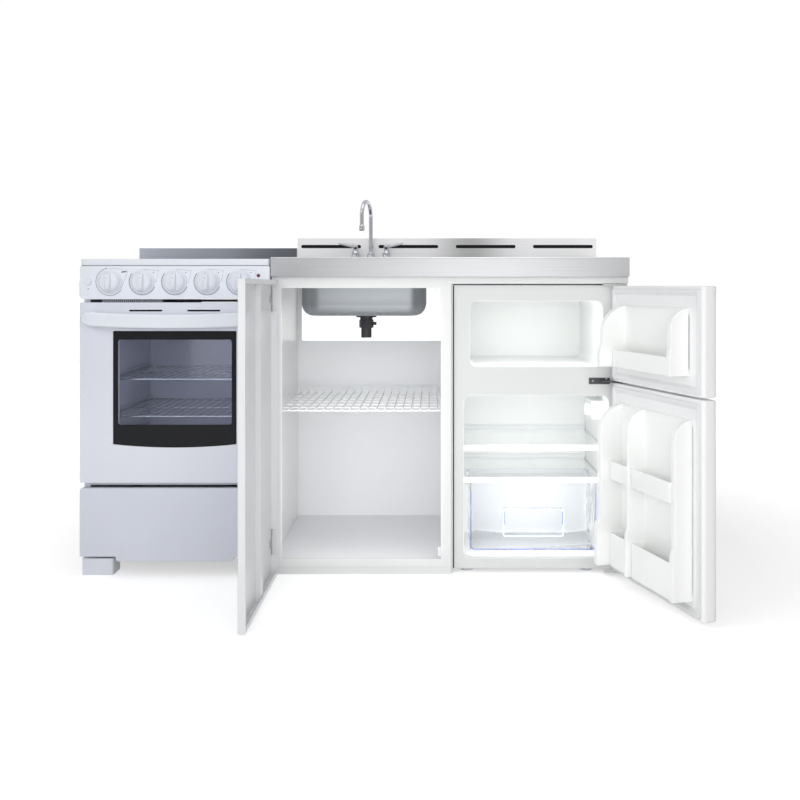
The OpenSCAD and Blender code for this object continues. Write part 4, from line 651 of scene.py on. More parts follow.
# %% One screw head with a cross recess
def screw_head(radius, height):
    """A low dome whose cross is pressed in, facing Z, on the origin."""
    bm = bmesh.new()
    sides, arm, deep = 24, radius * 0.62, height * 0.8
    rings = [(radius, 0), (radius, height * 0.3), (radius * 0.85, height * 0.75),
             (radius * 0.5, height)]
    rows = []
    for r, h in rings:
        rows.append([bm.verts.new(Vector((r * math.cos(math.tau * i / sides),
                                          r * math.sin(math.tau * i / sides), h)) * MM)
                     for i in range(sides)])
    for a, b in zip(rows, rows[1:]):
        for i in range(sides):
            j = (i + 1) % sides
            bm.faces.new((a[i], a[j], b[j], b[i]))
    bm.faces.new(rows[0][::-1])
    cross = []
    w = radius * 0.14
    for k in range(4):
        a = math.tau * k / 4
        c, s = math.cos(a), math.sin(a)
        for u, v in ((w, -w), (arm * 0.72, -w * 0.8), (arm * 0.72, w * 0.8)):
            cross.append((u * c - v * s, u * s + v * c))
    top = [bm.verts.new(Vector((x, y, height)) * MM) for x, y in cross]
    pit = [bm.verts.new(Vector((x * 0.8, y * 0.8, height - deep)) * MM) for x, y in cross]
    for i in range(12):
        j = (i + 1) % 12
        bm.faces.new((top[i], top[j], pit[j], pit[i]))
        a, b = rows[-1][2 * i], rows[-1][(2 * i + 2) % sides]
        m = rows[-1][(2 * i + 1) % sides]
        bm.faces.new((a, m, b, top[j], top[i]))
    bm.faces.new(pit)
    bmesh.ops.recalc_face_normals(bm, faces=bm.faces)
    return smooth(from_bmesh(bm, "screw_head"), 40)


def fastened(points, name, body, finish, head_mm, height):
    """Points are (x, y, z, facing) in millimetres; one plain object."""
    head_obj = screw_head(head_mm, height)
    mesh = bpy.data.meshes.new(name + "_points")
    mesh.from_pydata([[c * MM for c in p[:3]] for p in points], [], [])
    field = mesh.attributes.new("facing", "FLOAT_VECTOR", "POINT")
    for slot, p in zip(field.data, points):
        slot.vector = Vector(p[3]).normalized()
    made = grown(put_in_scene(mesh, name + "_start"), fasteners, name, Head=head_obj,
                 Size=1.0, Finish=finish)
    bpy.data.objects.remove(head_obj)
    smooth(made, 40)
    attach(made, body)
    print(name, len(points), "screws")


# %% [markdown]
# ## Soft edges for the folded and moulded solids
# A folded sheet or a moulding never has a knife edge: the thin bright line
# along it is what makes it look real. A CAD solid arrives as loose triangles,
# so a copy is welded, its flat faces are joined, and its sharp edges are
# rounded by the Bevel modifier. Weighted normals keep the flat faces flat.


# %% A dressed copy of a CAD node
SHARP_EDGE, FLAT_JOIN = math.radians(32), math.radians(0.4)


def round_edges(work, width, steps, miter="MITER_SHARP"):
    """Bevel along the sharp edges, with normals that keep flat faces flat."""
    work.data.polygons.foreach_set("use_smooth", [True] * len(work.data.polygons))
    cut = work.modifiers.new("edges", "BEVEL")
    cut.width, cut.segments = width * MM, steps
    cut.limit_method, cut.angle_limit = "ANGLE", SHARP_EDGE
    cut.miter_outer = miter
    even = work.modifiers.new("normals", "WEIGHTED_NORMAL")
    even.keep_sharp = True


def dressed(node, finish, radius, steps):
    mesh = NODES[node].data.copy()
    bm = bmesh.new()
    bm.from_mesh(mesh)
    bmesh.ops.remove_doubles(bm, verts=bm.verts, dist=1e-6)
    bmesh.ops.dissolve_limit(bm, angle_limit=FLAT_JOIN, verts=bm.verts,
                             edges=bm.edges, delimit=set())
    bm.to_mesh(mesh)
    bm.free()
    work = put_in_scene(mesh, node + "_work")
    round_edges(work, radius, steps, "MITER_ARC")
    hand_over(plain_copy(work, node + "_dressed"), BODY_OF[node], finish, [node])


# %% A smooth copy of a CAD node whose edges stay as they are
def smoothed(node, finish):
    """Welded and shaded smooth, for turned, drawn and bent pieces."""
    mesh = NODES[node].data.copy()
    bm = bmesh.new()
    bm.from_mesh(mesh)
    bmesh.ops.remove_doubles(bm, verts=bm.verts, dist=1e-6)
    bm.to_mesh(mesh)
    bm.free()
    obj = smooth(put_in_scene(mesh, node + "_smooth"))
    hand_over(obj, BODY_OF[node], finish, [node])


# %% Edges of every folded, moulded and turned node
DRESS = [
    ("side_panels", white_enamel, 0.7, 2), ("partition_panel", white_enamel, 0.7, 2),
    ("cabinet_floor", cabinet_grey, 0.7, 2), ("cabinet_back", cabinet_grey, 0.5, 1),
    ("face_frame", white_enamel, 1.0, 2), ("worktop", worktop_steel, 0.7, 2),
    ("backsplash", splash_steel, 0.7, 2), ("sink_strainer", bright_chrome, 0.4, 2),
    ("drain_tailpiece", black_plastic, 1.2, 3), ("tap_base", bright_chrome, 1.2, 3),
    ("cabinet_fittings", white_plastic, 0.5, 2), ("sink_door", door_enamel, 0.9, 3),
    ("door_stiffener", door_enamel, 0.5, 2), ("door_pull", white_plastic, 1.0, 3),
    ("cooker_panels", cooker_enamel, 0.7, 2), ("cooker_base", bare_primer, 0.6, 1),
    ("feet", cooker_plastic, 1.2, 3), ("hob_top", enamel_lit_hob, 2.0, 4),
    ("rear_strip", strip_steel, 0.8, 2), ("control_panel", enamel_lit_hob, 2.0, 4),
    ("switches_and_sockets", black_plastic, 1.0, 2), ("lamp_button", cooker_plastic, 0.6, 3),
    ("oven_front_frame", cooker_enamel, 1.0, 2), ("oven_cavity", oven_enamel, 1.0, 2),
    ("oven_door", cooker_enamel, 1.6, 4), ("oven_door_liner", cooker_enamel, 1.2, 3),
    ("drawer_front", enamel_shaded_drawer, 1.8, 4), ("drawer_tray", bare_primer, 0.5, 2),
    ("fridge_case", fridge_paint, 1.6, 3), ("fridge_liners", liner_plastic, 1.5, 3),
    ("thermostat", white_plastic, 4.0, 4), ("thermostat_dial", white_plastic, 1.2, 3),
    ("fridge_hinges", dark_plate, 0.7, 2),
    ("cabinet_hinges", hinge_steel, 0.25, 1),
    ("door_hinge_knuckles", hinge_steel, 0.25, 1),
]
for node, finish, radius, steps in DRESS:
    dressed(node, finish, radius, steps)
print("dressed", len(DRESS), "nodes")

# %% The top and bottom hinge plates are painted with the case
MIDDLE_HINGE_Z, PLATE_REACH = 0.539, 0.05
plates = bpy.data.objects["fridge_hinges_dressed"]
plates.data.materials.append(fridge_paint)
for face in plates.data.polygons:
    face.material_index = 0 if abs(face.center.z - MIDDLE_HINGE_Z) < PLATE_REACH else 1
print("painted plates", sum(face.material_index for face in plates.data.polygons), "faces")

# %% Drawn, turned and bent nodes
SMOOTH = {"sink_bowl": bowl_steel, "drip_bowls": bowl_chrome, "oven_seal": woven_seal,
          "oven_elements": element_sheath, "crisper_drawer": crisper_plastic,
          "cooling_circuit": black_metal}
for node, finish in SMOOTH.items():
    smoothed(node, finish)

# %% [markdown]
# ## Knobs of the cooker
# Each knob is a moulded disc with a dished skirt and an upright grip across
# its face. The disc is turned on a lathe profile; the grip is a row of round
# sections lofted from its lower end to its upper end, and a grey line in the
# top of the grip shows where the switch stands.


# %% One knob
knob_grey = painted("knob_grey", card(168, 172, 184), rough=0.4, peel=0.001, dust=0.0)
GRIP_HALF, GRIP_TOP, GRIP_FALL, GRIP_POWER = 25.6, 30.0, 9.0, 2.6


def knob(node):
    lo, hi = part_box(node)
    cx, cz, back = (lo.x + hi.x) / 2, (lo.z + hi.z) / 2, hi.y
    bm = bmesh.new()
    profile = [(0, 0), (33.4, 0), (34.0, 0.7), (34.0, 2.4), (33.2, 3.6), (31.4, 4.6),
               (29.9, 5.6), (29.2, 7.2), (28.8, 9.4), (27.9, 12.4), (25.8, 15.0),
               (22.4, 17.2), (17.5, 18.8), (11.0, 19.7), (4.0, 20.0), (0, 20.0)]
    turned(bm, profile, facing((0, -1, 0), (cx, back, cz)), sides=64)
    rings = []
    for k in range(17):
        t = -1 + k / 8
        reach = GRIP_HALF * t
        top = GRIP_TOP - GRIP_FALL * abs(t) ** GRIP_POWER
        half = 8.8 - 1.8 * t * t
        if abs(t) == 1:
            top, half = top - 2.0, half * 0.7
        side = [(1.0, 6), (0.97, top * 0.72), (0.9, top * 0.88), (0.76, top * 0.96),
                (0.5, top * 0.99), (0.2, top)]
        rings.append([Vector((cx + u * half * MM, back - v * MM, cz + reach * MM))
                      for u, v in [(-u, v) for u, v in side] + side[::-1]])
    skin(bm, rings)
    outward(bm)
    obj = smooth(from_bmesh(bm, node + "_moulded"), 50)
    hand_over(obj, BODY_OF[node], cooker_plastic, [node])
    bm = bmesh.new()
    line = [(p.x, p.z) for p in front_ring(-1.7, 1.7, 9.5, 23.0, 1.5, 0, 3)]
    proud = GRIP_TOP + 0.25
    skin(bm, [[Vector((cx + x, back - 24.0 * MM, cz + z)) for x, z in line],
              [Vector((cx + x, back - (proud - GRIP_FALL * (z / (GRIP_HALF * MM)) ** GRIP_POWER)
                       * MM, cz + z)) for x, z in line]])
    outward(bm)
    mark = from_bmesh(bm, node + "_pointer")
    hand_over(mark, BODY_OF[node], knob_grey)


KNOBS = ["knob_oven", "knob_front_left", "knob_rear_left", "knob_rear_right",
         "knob_front_right"]
for node in KNOBS:
    knob(node)
print("knobs", len(KNOBS))

# %% [markdown]
# ## Printed lines round the knobs
# The panel carries thin printed outlines: a drop-shaped ring round each knob
# with its point at the upper right, and a small dot in that point. Round its
# lower side the ring is drawn wide and dark, which is painted shadow under the
# knob. They are ink on enamel, so each is a flat ribbon a tenth of a millimetre
# proud.


# %% Ribbons of ink
INK = 0.12


def ribbon(bm, points, width, y):
    """A flat line through x, z points, in millimetres, on the panel's face."""
    rows = []
    for i, (x, z) in enumerate(points):
        a = Vector(points[max(i - 1, 0)])
        b = Vector(points[min(i + 1, len(points) - 1)])
        t = (b - a).normalized()
        n = Vector((-t.y, t.x)) * width / 2
        rows.append([Vector((x + n.x, y, z + n.y)) * MM, Vector((x - n.x, y, z - n.y)) * MM,
                     Vector((x - n.x, y - INK, z - n.y)) * MM,
                     Vector((x + n.x, y - INK, z + n.y)) * MM])
    skin(bm, rows)


def disc(bm, x, z, r, y):
    turned(bm, [(0, 0), (r, 0), (r, INK), (0, INK)],
           facing((0, -1, 0), (x * MM, y * MM, z * MM)), sides=16)


def arc(cx, cz, r, start, stop):
    """Points of a circle, one every six degrees."""
    return [(cx + r * math.cos(math.radians(a)), cz + r * math.sin(math.radians(a)))
            for a in range(start, stop, 6)]


# The grey ink draws the outlines; their wide lower arcs are also painted shadow under the knobs
ink_and_shadow_grey = painted("ink_and_shadow_grey", card(124, 130, 148), rough=0.4, peel=0.002, dust=0.0)
ink_dark = painted("ink_dark", card(96, 100, 114), rough=0.4, peel=0.002, dust=0.0)
panel_lo, panel_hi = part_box("control_panel")
face_y = panel_lo.y * 1000
lines, dots = bmesh.new(), bmesh.new()
for k, node in enumerate(KNOBS):
    lo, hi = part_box(node)
    kx, kz = (lo.x + hi.x) * 500, (lo.z + hi.z) * 500
    ring = 38.5 if k == 0 else 36.6
    flag = (kx + (50 if k == 0 else 46), kz + 31)
    if k == 0:
        outline = arc(kx, kz, ring, 100, 328)
        ribbon(lines, [(kx + 6, kz + ring), flag, outline[-1]], 0.8, face_y)
        ribbon(lines, outline, 1.6, face_y)
        ribbon(dots, [(kx + 32, kz + 26.5), (kx + 46, kz + 28.5)], 3.4, face_y)
        disc(dots, kx + 2, kz + 36.5, 1.1, face_y)
    else:
        ribbon(lines, [(kx + 2, kz + ring * 0.93), flag, (kx + 38, kz - 2)], 0.7, face_y)
        ribbon(lines, arc(kx, kz, ring, 140, 342), 1.9, face_y)
        disc(dots, kx + 31, kz + 25.5, 1.5, face_y)
lo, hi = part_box("lamp_button")
disc(dots, (lo.x + hi.x) * 500, (lo.z + hi.z) * 500 - 20, 1.6, face_y)
for bm, ink, label in ((lines, ink_and_shadow_grey, "outline_print"), (dots, ink_dark, "dot_print")):
    outward(bm)
    hand_over(from_bmesh(bm, label), "base", ink)
print("printed marks on the panel at y", round(face_y, 1))

# %% [markdown]
# ## Hotplate coils
# This is the piece of most skill on the real object: one long sheathed tube
# is wound into a flat spiral of half circles, its top is pressed flat for the
# pans, and both ends dive under the turns to the socket. The tree that makes
# wires carries one round section along the path and planes the top, so the
# whole coil is one path, from leg to leg, as it is in the works.


# %% Path of one coil
COIL_PITCH, COIL_TUBE, LEG_DROP, LEG_SIDE, LEG_REACH = 14.0, 7.0, 9.0, 11.0, 16.0
HOTPLATES = [(-125, -165, 90), (125, -165, 68), (-125, 95, 68), (125, 95, 90)]
hob_lo, hob_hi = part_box("hob_top")
cooker_x = (hob_lo.x + hob_hi.x) * 500
coil_z = hob_hi.z * 1000 - 4 - COIL_TUBE / 2
print("middle of the cooker", round(cooker_x, 1), "coils at", round(coil_z, 1))


def coil_path(outer):
    """From the outer leg round the spiral and down to the inner leg."""
    turns = 2 * math.floor((outer - 22) / COIL_PITCH)
    path = [(outer + LEG_REACH, -LEG_SIDE, -LEG_DROP), (outer + 8.0, -LEG_SIDE, -LEG_DROP)]
    path += [(outer + 4.5 - 4.5 * math.sin(a), -LEG_SIDE, -4.5 - 4.5 * math.cos(a))
             for a in [math.radians(18 * k) for k in range(6)]]
    path += [(outer, -LEG_SIDE + 4.5 - 4.5 * math.cos(a), -4.5 + 4.5 * math.sin(a))
             for a in [math.radians(18 * k) for k in range(1, 6)]]
    path.append((outer, -3.0, 0.0))
    for k in range(turns):
        r = outer - COIL_PITCH / 2 * k
        cx = 0 if k % 2 == 0 else -COIL_PITCH / 2
        for a in range(0, 180, 6):
            b = math.radians(a + 180 * (k % 2))
            path.append((cx + r * math.cos(b), r * math.sin(b), 0.0))
    x = outer - COIL_PITCH / 2 * turns
    path += [(x, 4.5 * math.sin(a), -4.5 + 4.5 * math.cos(a))
             for a in [math.radians(18 * k) for k in range(6)]]
    path += [(x + 4.5 - 4.5 * math.cos(a), 4.5, -4.5 - 4.5 * math.sin(a))
             for a in [math.radians(18 * k) for k in range(1, 6)]]
    path += [(x + 8.0, 4.5, -LEG_DROP), (outer + LEG_REACH, 4.5, -LEG_DROP)]
    return path


# %% Spider under a coil: three pressed arms, their seats and the medallion
def spider(bm, cx, cy, outer):
    z1, z0 = coil_z - COIL_TUBE / 2 + 0.8, coil_z - COIL_TUBE / 2 - LEG_DROP
    for deg in (30, 150, 270):
        turn = Matrix.Translation(Vector((cx, cy, 0)) * MM) @ Matrix.Rotation(
            math.radians(deg), 4, "Z")
        rings = []
        stations = [(5, 4.5), (16, 4.5), (26, 6.2), (outer - 6, 6.2), (outer + 2, 5.2),
                    (outer + 4.2, 3.0)]
        for x, w in stations:
            foot = z0 if x < outer - 2 else z0 + 2.5
            ring = [(x, -1.0, foot), (x, 1.0, foot), (x, 1.0, z1 - 1), (x, w / 2, z1),
                    (x, -w / 2, z1), (x, -1.0, z1 - 1)]
            rings.append([turn @ (Vector(p) * MM) for p in ring])
        skin(bm, rings)
    disc_z = coil_z - COIL_TUBE / 2
    turned(bm, [(0, -9.4), (15.4, -9.4), (16, -8.8), (16, -5.6), (15.2, -5), (0, -5)],
           Matrix.Translation(Vector((cx, cy, disc_z)) * MM), sides=40)
    turned(bm, [(0, -3), (12.5, -3), (13.4, -1.2), (13.6, 1.6), (12.6, 2.8), (9.5, 3.1),
                (8.0, 2.5), (0, 2.2)], Matrix.Translation(Vector((cx, cy, disc_z)) * MM), sides=40)


coils, arms = [], bmesh.new()
for i, (hx, hy, outer) in enumerate(HOTPLATES):
    path = [(cooker_x + hx + x, hy + y, coil_z + z) for x, y, z in coil_path(outer)]
    coils.append(wire_row(path, f"coil_{i}", COIL_TUBE / 2, coil_sheath, sides=16,
                          top=coil_z + 2.6))
    spider(arms, cooker_x + hx, hy, outer)
coil_obj = smooth(joined(coils, "hotplate_coils_wound"), 40)
hand_over(coil_obj, "base", coil_sheath, ["hotplate_coils"])
outward(arms)
hand_over(smooth(from_bmesh(arms, "coil_spiders"), 35), "base", bowl_chrome)
print("coil triangles", sum(len(p.vertices) - 2 for p in coil_obj.data.polygons))

# %% [markdown]
# ## Wire shelf and oven racks
# A welded grid is two rows of wires. The shelf's long wires lie on the cross
# wires and turn up at the back; a rack has a thicker frame round thin rods.

# %% Wire shelf of the cabinet
s_lo, s_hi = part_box("wire_shelf")
s_lo, s_hi = s_lo * 1000, s_hi * 1000
BEND, TURN_UP = 8, 22
shelf_z = s_hi.z - TURN_UP
back_y = s_hi.y - 2
long_wire = [(s_lo.x + 2, s_lo.y, shelf_z), (s_lo.x + 2, back_y - BEND, shelf_z)]
long_wire += [(s_lo.x + 2, back_y - BEND + BEND * math.sin(a),
               shelf_z + BEND - BEND * math.cos(a))
              for a in [math.radians(15 * k) for k in range(1, 7)]]
long_wire.append((s_lo.x + 2, back_y, s_hi.z))
SHELF_WIRES, SHELF_CROSS = 20, 7
step_x = (s_hi.x - s_lo.x - 4) / (SHELF_WIRES - 1)
step_y = (s_hi.y - s_lo.y - 40) / (SHELF_CROSS - 1)
cross_z = shelf_z - 3.2
shelf = [wire_row(long_wire, "shelf_long", 2.0, dipped_wire, SHELF_WIRES, (step_x, 0, 0)),
         wire_row([(s_lo.x, s_lo.y + 2, cross_z), (s_hi.x, s_lo.y + 2, cross_z)],
                  "shelf_cross", 2.0, dipped_wire, SHELF_CROSS, (0, step_y, 0)),
         wire_row([(s_lo.x, back_y - 3.2, s_hi.z - 2), (s_hi.x, back_y - 3.2, s_hi.z - 2)],
                  "shelf_rail", 2.0, dipped_wire)]
hand_over(smooth(joined(shelf, "wire_shelf_welded"), 40), "base", dipped_wire,
          ["wire_shelf"])

# %% Oven racks
r_lo, r_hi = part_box("oven_racks")
r_lo, r_hi = r_lo * 1000, r_hi * 1000
RACK_ZS, RACK_RODS = (r_lo.z + 2.5, r_hi.z - 2.5), 15
racks = []
for i, z in enumerate(RACK_ZS):
    frame_path = [(x * 1000, y * 1000, z) for x, y, _ in
                  [tuple(p) for p in plan_ring(r_lo.x + 2.5, r_hi.x - 2.5, r_lo.y + 2.5,
                                               r_hi.y - 2.5, 14, z)]]
    racks.append(wire_row(frame_path + frame_path[:1], f"rack_frame_{i}", 2.5, rack_steel))
    racks.append(wire_row([(r_lo.x + 24, r_lo.y + 2.5, z), (r_lo.x + 24, r_hi.y - 2.5, z)],
                          f"rack_rods_{i}", 1.7, rack_steel, RACK_RODS,
                          ((r_hi.x - r_lo.x - 48) / (RACK_RODS - 1), 0, 0), sides=8))
    racks.append(wire_row([(r_lo.x + 3, (r_lo.y + r_hi.y) / 2, z - 1.5),
                           (r_hi.x - 3, (r_lo.y + r_hi.y) / 2, z - 1.5)],
                          f"rack_bar_{i}", 2.2, rack_steel))
hand_over(smooth(joined(racks, "oven_racks_welded"), 40), "base", rack_steel,
          ["oven_racks"])
print("racks at", [round(z, 1) for z in RACK_ZS])

# %% [markdown]
# ## Tap
# The tap is chromed brass: a bent pipe that swivels in the middle bell, and a
# lever on each outer bell. The pipe is swept along its bow. A lever is a bell
# that a blade grows out of; the blade is a loft of flat ovals that swells to
# a round end, which is the shape a finger wants.

# %% Spout
_, sp_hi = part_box("tap_spout")
tap_lo, tap_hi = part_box("tap_base")
tap_x, tap_y = (tap_lo.x + tap_hi.x) * 500, (tap_lo.y + tap_hi.y) * 500
SPOUT_R, BOW, DROP, TURN = 6.5, 48.0, 34.0, math.radians(-14)
bell_z = 910.0
bow_z = sp_hi.z * 1000 - SPOUT_R - BOW
path = [(0, bell_z - 12), (0, bell_z + 8), (0, bow_z - 40), (0, bow_z)]
path += [(-BOW + BOW * math.cos(a), bow_z + BOW * math.sin(a))
         for a in [math.radians(7.5 * k) for k in range(1, 25)]]
path += [(-2 * BOW, bow_z - DROP * 0.5), (-2 * BOW, bow_z - DROP)]
turn = Matrix.Translation((tap_x * MM, tap_y * MM, 0)) @ Matrix.Rotation(TURN, 4, "Z")
bm = bmesh.new()
swept(bm, [turn @ (Vector((0, y, z)) * MM) for y, z in path], SPOUT_R * MM, sides=28)
collar = [(0, 0), (10, 0), (10, 1.2), (9.2, 3.6), (7.6, 4.6), (6.6, 5.2), (0, 5.2)]
turned(bm, collar, turn @ Matrix.Translation(Vector((0, 0, bell_z + 0.3)) * MM), sides=40)
nozzle = [(0, 2.4), (6.3, 2.4), (6.4, 0.2), (7.4, 0), (8.2, 0.6), (8.8, 1.6), (9.0, 7.5),
          (8.4, 8.4), (8.8, 9.3), (9.0, 14.0), (8.2, 16.6), (6.8, 18.4), (6.3, 20), (0, 20)]
tip_z = bow_z - DROP - 14
turned(bm, nozzle, turn @ Matrix.Translation(Vector((0, -2 * BOW, tip_z)) * MM), sides=40)
outward(bm)
hand_over(smooth(from_bmesh(bm, "tap_spout_bent"), 40), "spout", bright_chrome,
          ["tap_spout"])
print("nozzle at", [round(v, 1) for v in (turn @ (Vector((0, -2 * BOW, tip_z)) * MM)) * 1000])


# %% Levers with a coloured button on top
def lever(node, side, button):
    lo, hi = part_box(node)
    x = tap_x + side * 50.8
    bm = bmesh.new()
    hub = [(0, 0), (11.8, 0), (12, 0.6), (12, 2.6), (11.2, 4.2), (9.0, 6.6), (7.6, 9.6),
           (7.1, 13.0), (7.4, 16.5), (8.4, 20.0), (9.0, 23.2), (8.6, 26.4), (7.0, 28.8),
           (4.2, 29.8), (0, 30.0)]
    place = Matrix.Translation(Vector((x, tap_y, bell_z + 0.3)) * MM)
    turned(bm, hub, place, sides=40)
    rings = []
    for k in range(15):
        t = k / 14
        reach = 2 + 53.6 * t
        swell = 4.6 + 3.6 * math.sin(min(t * 1.12, 1.0) * math.pi / 2) ** 2
        if t > 0.8:
            swell *= math.sqrt(max(1 - ((t - 0.8) / 0.2) ** 2, 0.0)) * 0.97 + 0.03
        thick = swell * (0.95 - 0.5 * min(t * 1.3, 1.0))
        height = 21.0 + reach * math.tan(math.radians(13)) + 1.6 * math.sin(t * math.pi)
        rings.append([place @ (Vector((side * reach, swell * math.cos(a),
                                       height + thick * math.sin(a))) * MM)
                      for a in [math.tau * i / 20 for i in range(20)]])
    skin(bm, rings)
    outward(bm)
    hand_over(smooth(from_bmesh(bm, node + "_cast"), 45), BODY_OF[node], bright_chrome,
              [node])
    bm = bmesh.new()
    turned(bm, [(0, 28), (3.6, 28), (3.6, 30.1), (3.0, 30.5), (0, 30.6)], place, sides=24)
    outward(bm)
    hand_over(smooth(from_bmesh(bm, node + "_button"), 40), BODY_OF[node], button)


warm_button = painted("warm_button", card(188, 52, 46), rough=0.25, peel=0.002, dust=0.0)
cold_button = painted("cold_button", card(52, 92, 168), rough=0.25, peel=0.002, dust=0.0)
lever("tap_lever_left", -1, warm_button)
lever("tap_lever_right", 1, cold_button)

# %% [markdown]
# ## Oven window
# The window is two panes. The front one is printed black from behind in a
# wide border whose lower edge sags, and clear in the middle; the inner one
# sits in the door's pan. Border and clear part are made as two pieces, since
# ink stops light and glass lets it through.

# %% Panes of the oven door
w_lo, w_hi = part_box("oven_window")
w_lo, w_hi = w_lo * 1000, w_hi * 1000
HALF, SAG = (w_hi.x - w_lo.x) / 2, 9.0
PANE_Z0, PANE_Z1 = w_lo.z + SAG, w_hi.z


def bowed(half, z0, z1, sag, corner, y):
    """A pane's outline whose lower edge sags; anticlockwise from the right."""
    pts = []
    for cx, cz, a0 in ((half - corner, z1 - corner, 0), (-half + corner, z1 - corner, 90),
                       (-half + corner, z0 + corner, 180)):
        pts += [(cx + corner * math.cos(math.radians(a0 + 15 * k)),
                 cz + corner * math.sin(math.radians(a0 + 15 * k))) for k in range(7)]
    for k in range(1, 20):
        x = (half - corner) * (k / 10 - 1)
        pts.append((x, z0 - sag * (1 - (x / half) ** 2)))
    pts += [(half - corner + corner * math.cos(math.radians(270 + 15 * k)),
             z0 + corner + corner * math.sin(math.radians(270 + 15 * k))) for k in range(7)]
    return [Vector((cooker_x + x, y, z)) * MM for x, z in pts]


outer = (HALF, PANE_Z0, PANE_Z1, SAG, 5.0)
clear_part = (HALF - 13, PANE_Z0 + 54, PANE_Z1 - 24, 0.0, 7.0)
y_front = w_lo.y
bm = bmesh.new()
skin(bm, [bowed(*outer, y_front), bowed(*outer, y_front + 3.7),
          bowed(*clear_part, y_front + 3.7), bowed(*clear_part, y_front)], closed_loop=True)
outward(bm)
hand_over(from_bmesh(bm, "window_border"), "oven_door", window_black,
          ["oven_window"])
bm = bmesh.new()
skin(bm, [bowed(*clear_part, y_front + 0.15), bowed(*clear_part, y_front + 3.5)])
inner = (cooker_x - 168, cooker_x + 168, PANE_Z0 + 22, PANE_Z1 - 16, 6)
skin(bm, [front_ring(*inner, w_hi.y - 4), front_ring(*inner, w_hi.y)])
outward(bm)
hand_over(from_bmesh(bm, "window_panes"), "oven_door", window_clear)
print("clear part", [round(v, 1) for v in clear_part[:3]])

# %% [markdown]
# ## Oven handle and lamps
# The handle is one moulding: a broad flat bow, rounded all round, on two feet.
# Its section is carried along the bow and drawn in at both ends. The pilot
# lamp is a red domed lens; the oven's own lamp sits behind a ribbed glass.

# %% Handle
h_lo, h_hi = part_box("oven_handle")
h_lo, h_hi = h_lo * 1000, h_hi * 1000
HANDLE_HALF, BAND, THICK, DROOP = 248.0, 40.0, 16.0, 9.0
mid_z = h_lo.z + BAND / 2
bar_y = h_lo.y + THICK / 2
bm = bmesh.new()
rings = []
END = 34.0
for k in range(65):
    t = math.sin(math.pi / 2 * (k / 32 - 1))
    edge = HANDLE_HALF * (1 - abs(t))
    near = max(END - edge, 0) / END
    draw = max(math.sqrt(max(1 - near ** 2, 0)), 0.06)
    thin = max(math.sqrt(max(1 - near ** 4, 0)), 0.06)
    x = cooker_x + HANDLE_HALF * t
    z = mid_z + DROOP * t * t
    rings.append([Vector((x, bar_y + v * thin, z + u * draw)) * MM
                  for u, v in round_rect(BAND, THICK, 7.2, 5)])
skin(bm, rings)
for s in (-1, 1):
    fx = cooker_x + s * (HANDLE_HALF - 16)
    foot = [(14.5, 18.5, h_hi.y), (13.4, 17.2, h_hi.y - 2), (12.4, 15.4, h_hi.y - 6),
            (12.0, 15.0, bar_y + 6), (11.5, 14.0, bar_y)]
    skin(bm, [front_ring(fx - w, fx + w, mid_z + 11 - h, mid_z + 11 + h, 7.5, y)
              for w, h, y in foot])
outward(bm)
hand_over(smooth(from_bmesh(bm, "oven_handle_moulded"), 45), "oven_door", handle_enamel,
          ["oven_handle"])

# %% Dark wool in the door behind its vent slots, painted shade that makes the slots look dark
door_lo, door_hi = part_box("oven_door")
door_lo, door_hi = door_lo * 1000, door_hi * 1000
slot_shade = painted("dark_slot_shade", card(30, 32, 38), rough=0.9, peel=0.001, bump=0.5, dust=0.0)
SLOT_X, SLOT_HALF, SLOT_DOWN = 80.6, 46.0, 22.5
bm = bmesh.new()
for side in (-1, 1):
    mid = cooker_x + side * SLOT_X
    skin(bm, [front_ring(mid - SLOT_HALF - 4, mid + SLOT_HALF + 4, door_hi.z - SLOT_DOWN - 6,
                         door_hi.z - SLOT_DOWN + 6, 2, door_lo.y + y, 3) for y in (2.4, 4.0)])
outward(bm)
hand_over(from_bmesh(bm, "door_wool"), "oven_door", slot_shade)
print("wool behind the slots at z", round(door_hi.z - SLOT_DOWN, 1))

# %% Pilot lamp and oven lamp
l_lo, l_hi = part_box("lamps")
l_lo, l_hi = l_lo * 1000, l_hi * 1000
bm = bmesh.new()
lens = [(0, 0), (4.9, 0), (4.9, 12), (4.6, 12.7), (4.0, 13.4), (3.0, 14.1), (1.6, 14.45),
        (0, 14.5)]
turned(bm, lens, facing((0, -1, 0), ((l_hi.x - 5) * MM, (l_lo.y + 14.5) * MM,
                                     (l_hi.z - 5) * MM)), sides=28)
outward(bm)
hand_over(smooth(from_bmesh(bm, "pilot_lens"), 40), "base", pilot_red, ["lamps"])
bm = bmesh.new()
dome = [(24, 0), (24, 4.4), (21, 5.2)]
for k in range(12):
    a = math.radians(7.5 * k)
    bulge = 0.5 if k % 2 else 0.0
    dome.append(((19.6 + bulge) * math.cos(a), 5.2 + 19 * math.sin(a)))
dome.append((0, 24.6))
turned(bm, [(0, 0)] + dome,
       facing((0, -1, 0), ((l_lo.x + 24) * MM, l_hi.y * MM, (l_lo.z + 24) * MM)), sides=36)
outward(bm)
hand_over(smooth(from_bmesh(bm, "oven_lamp_glass"), 40), "base", lamp_cover)

# %% Slats of the cooling gap under the control panel
front_lo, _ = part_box("oven_front_frame")
slat_z = panel_lo.z * 1000
SLAT_X, SLAT_STEP, SLATS = -206.0, 5.7, 30
slats = wire_row([(cooker_x + SLAT_X, front_lo.y * 1000 + 9, slat_z - 10.5),
                  (cooker_x + SLAT_X, front_lo.y * 1000 + 9, slat_z + 2)],
                 "cooling_slats", 1.3, cooker_enamel, SLATS, (SLAT_STEP, 0, 0), sides=8)
hand_over(slats, "base", cooker_enamel)

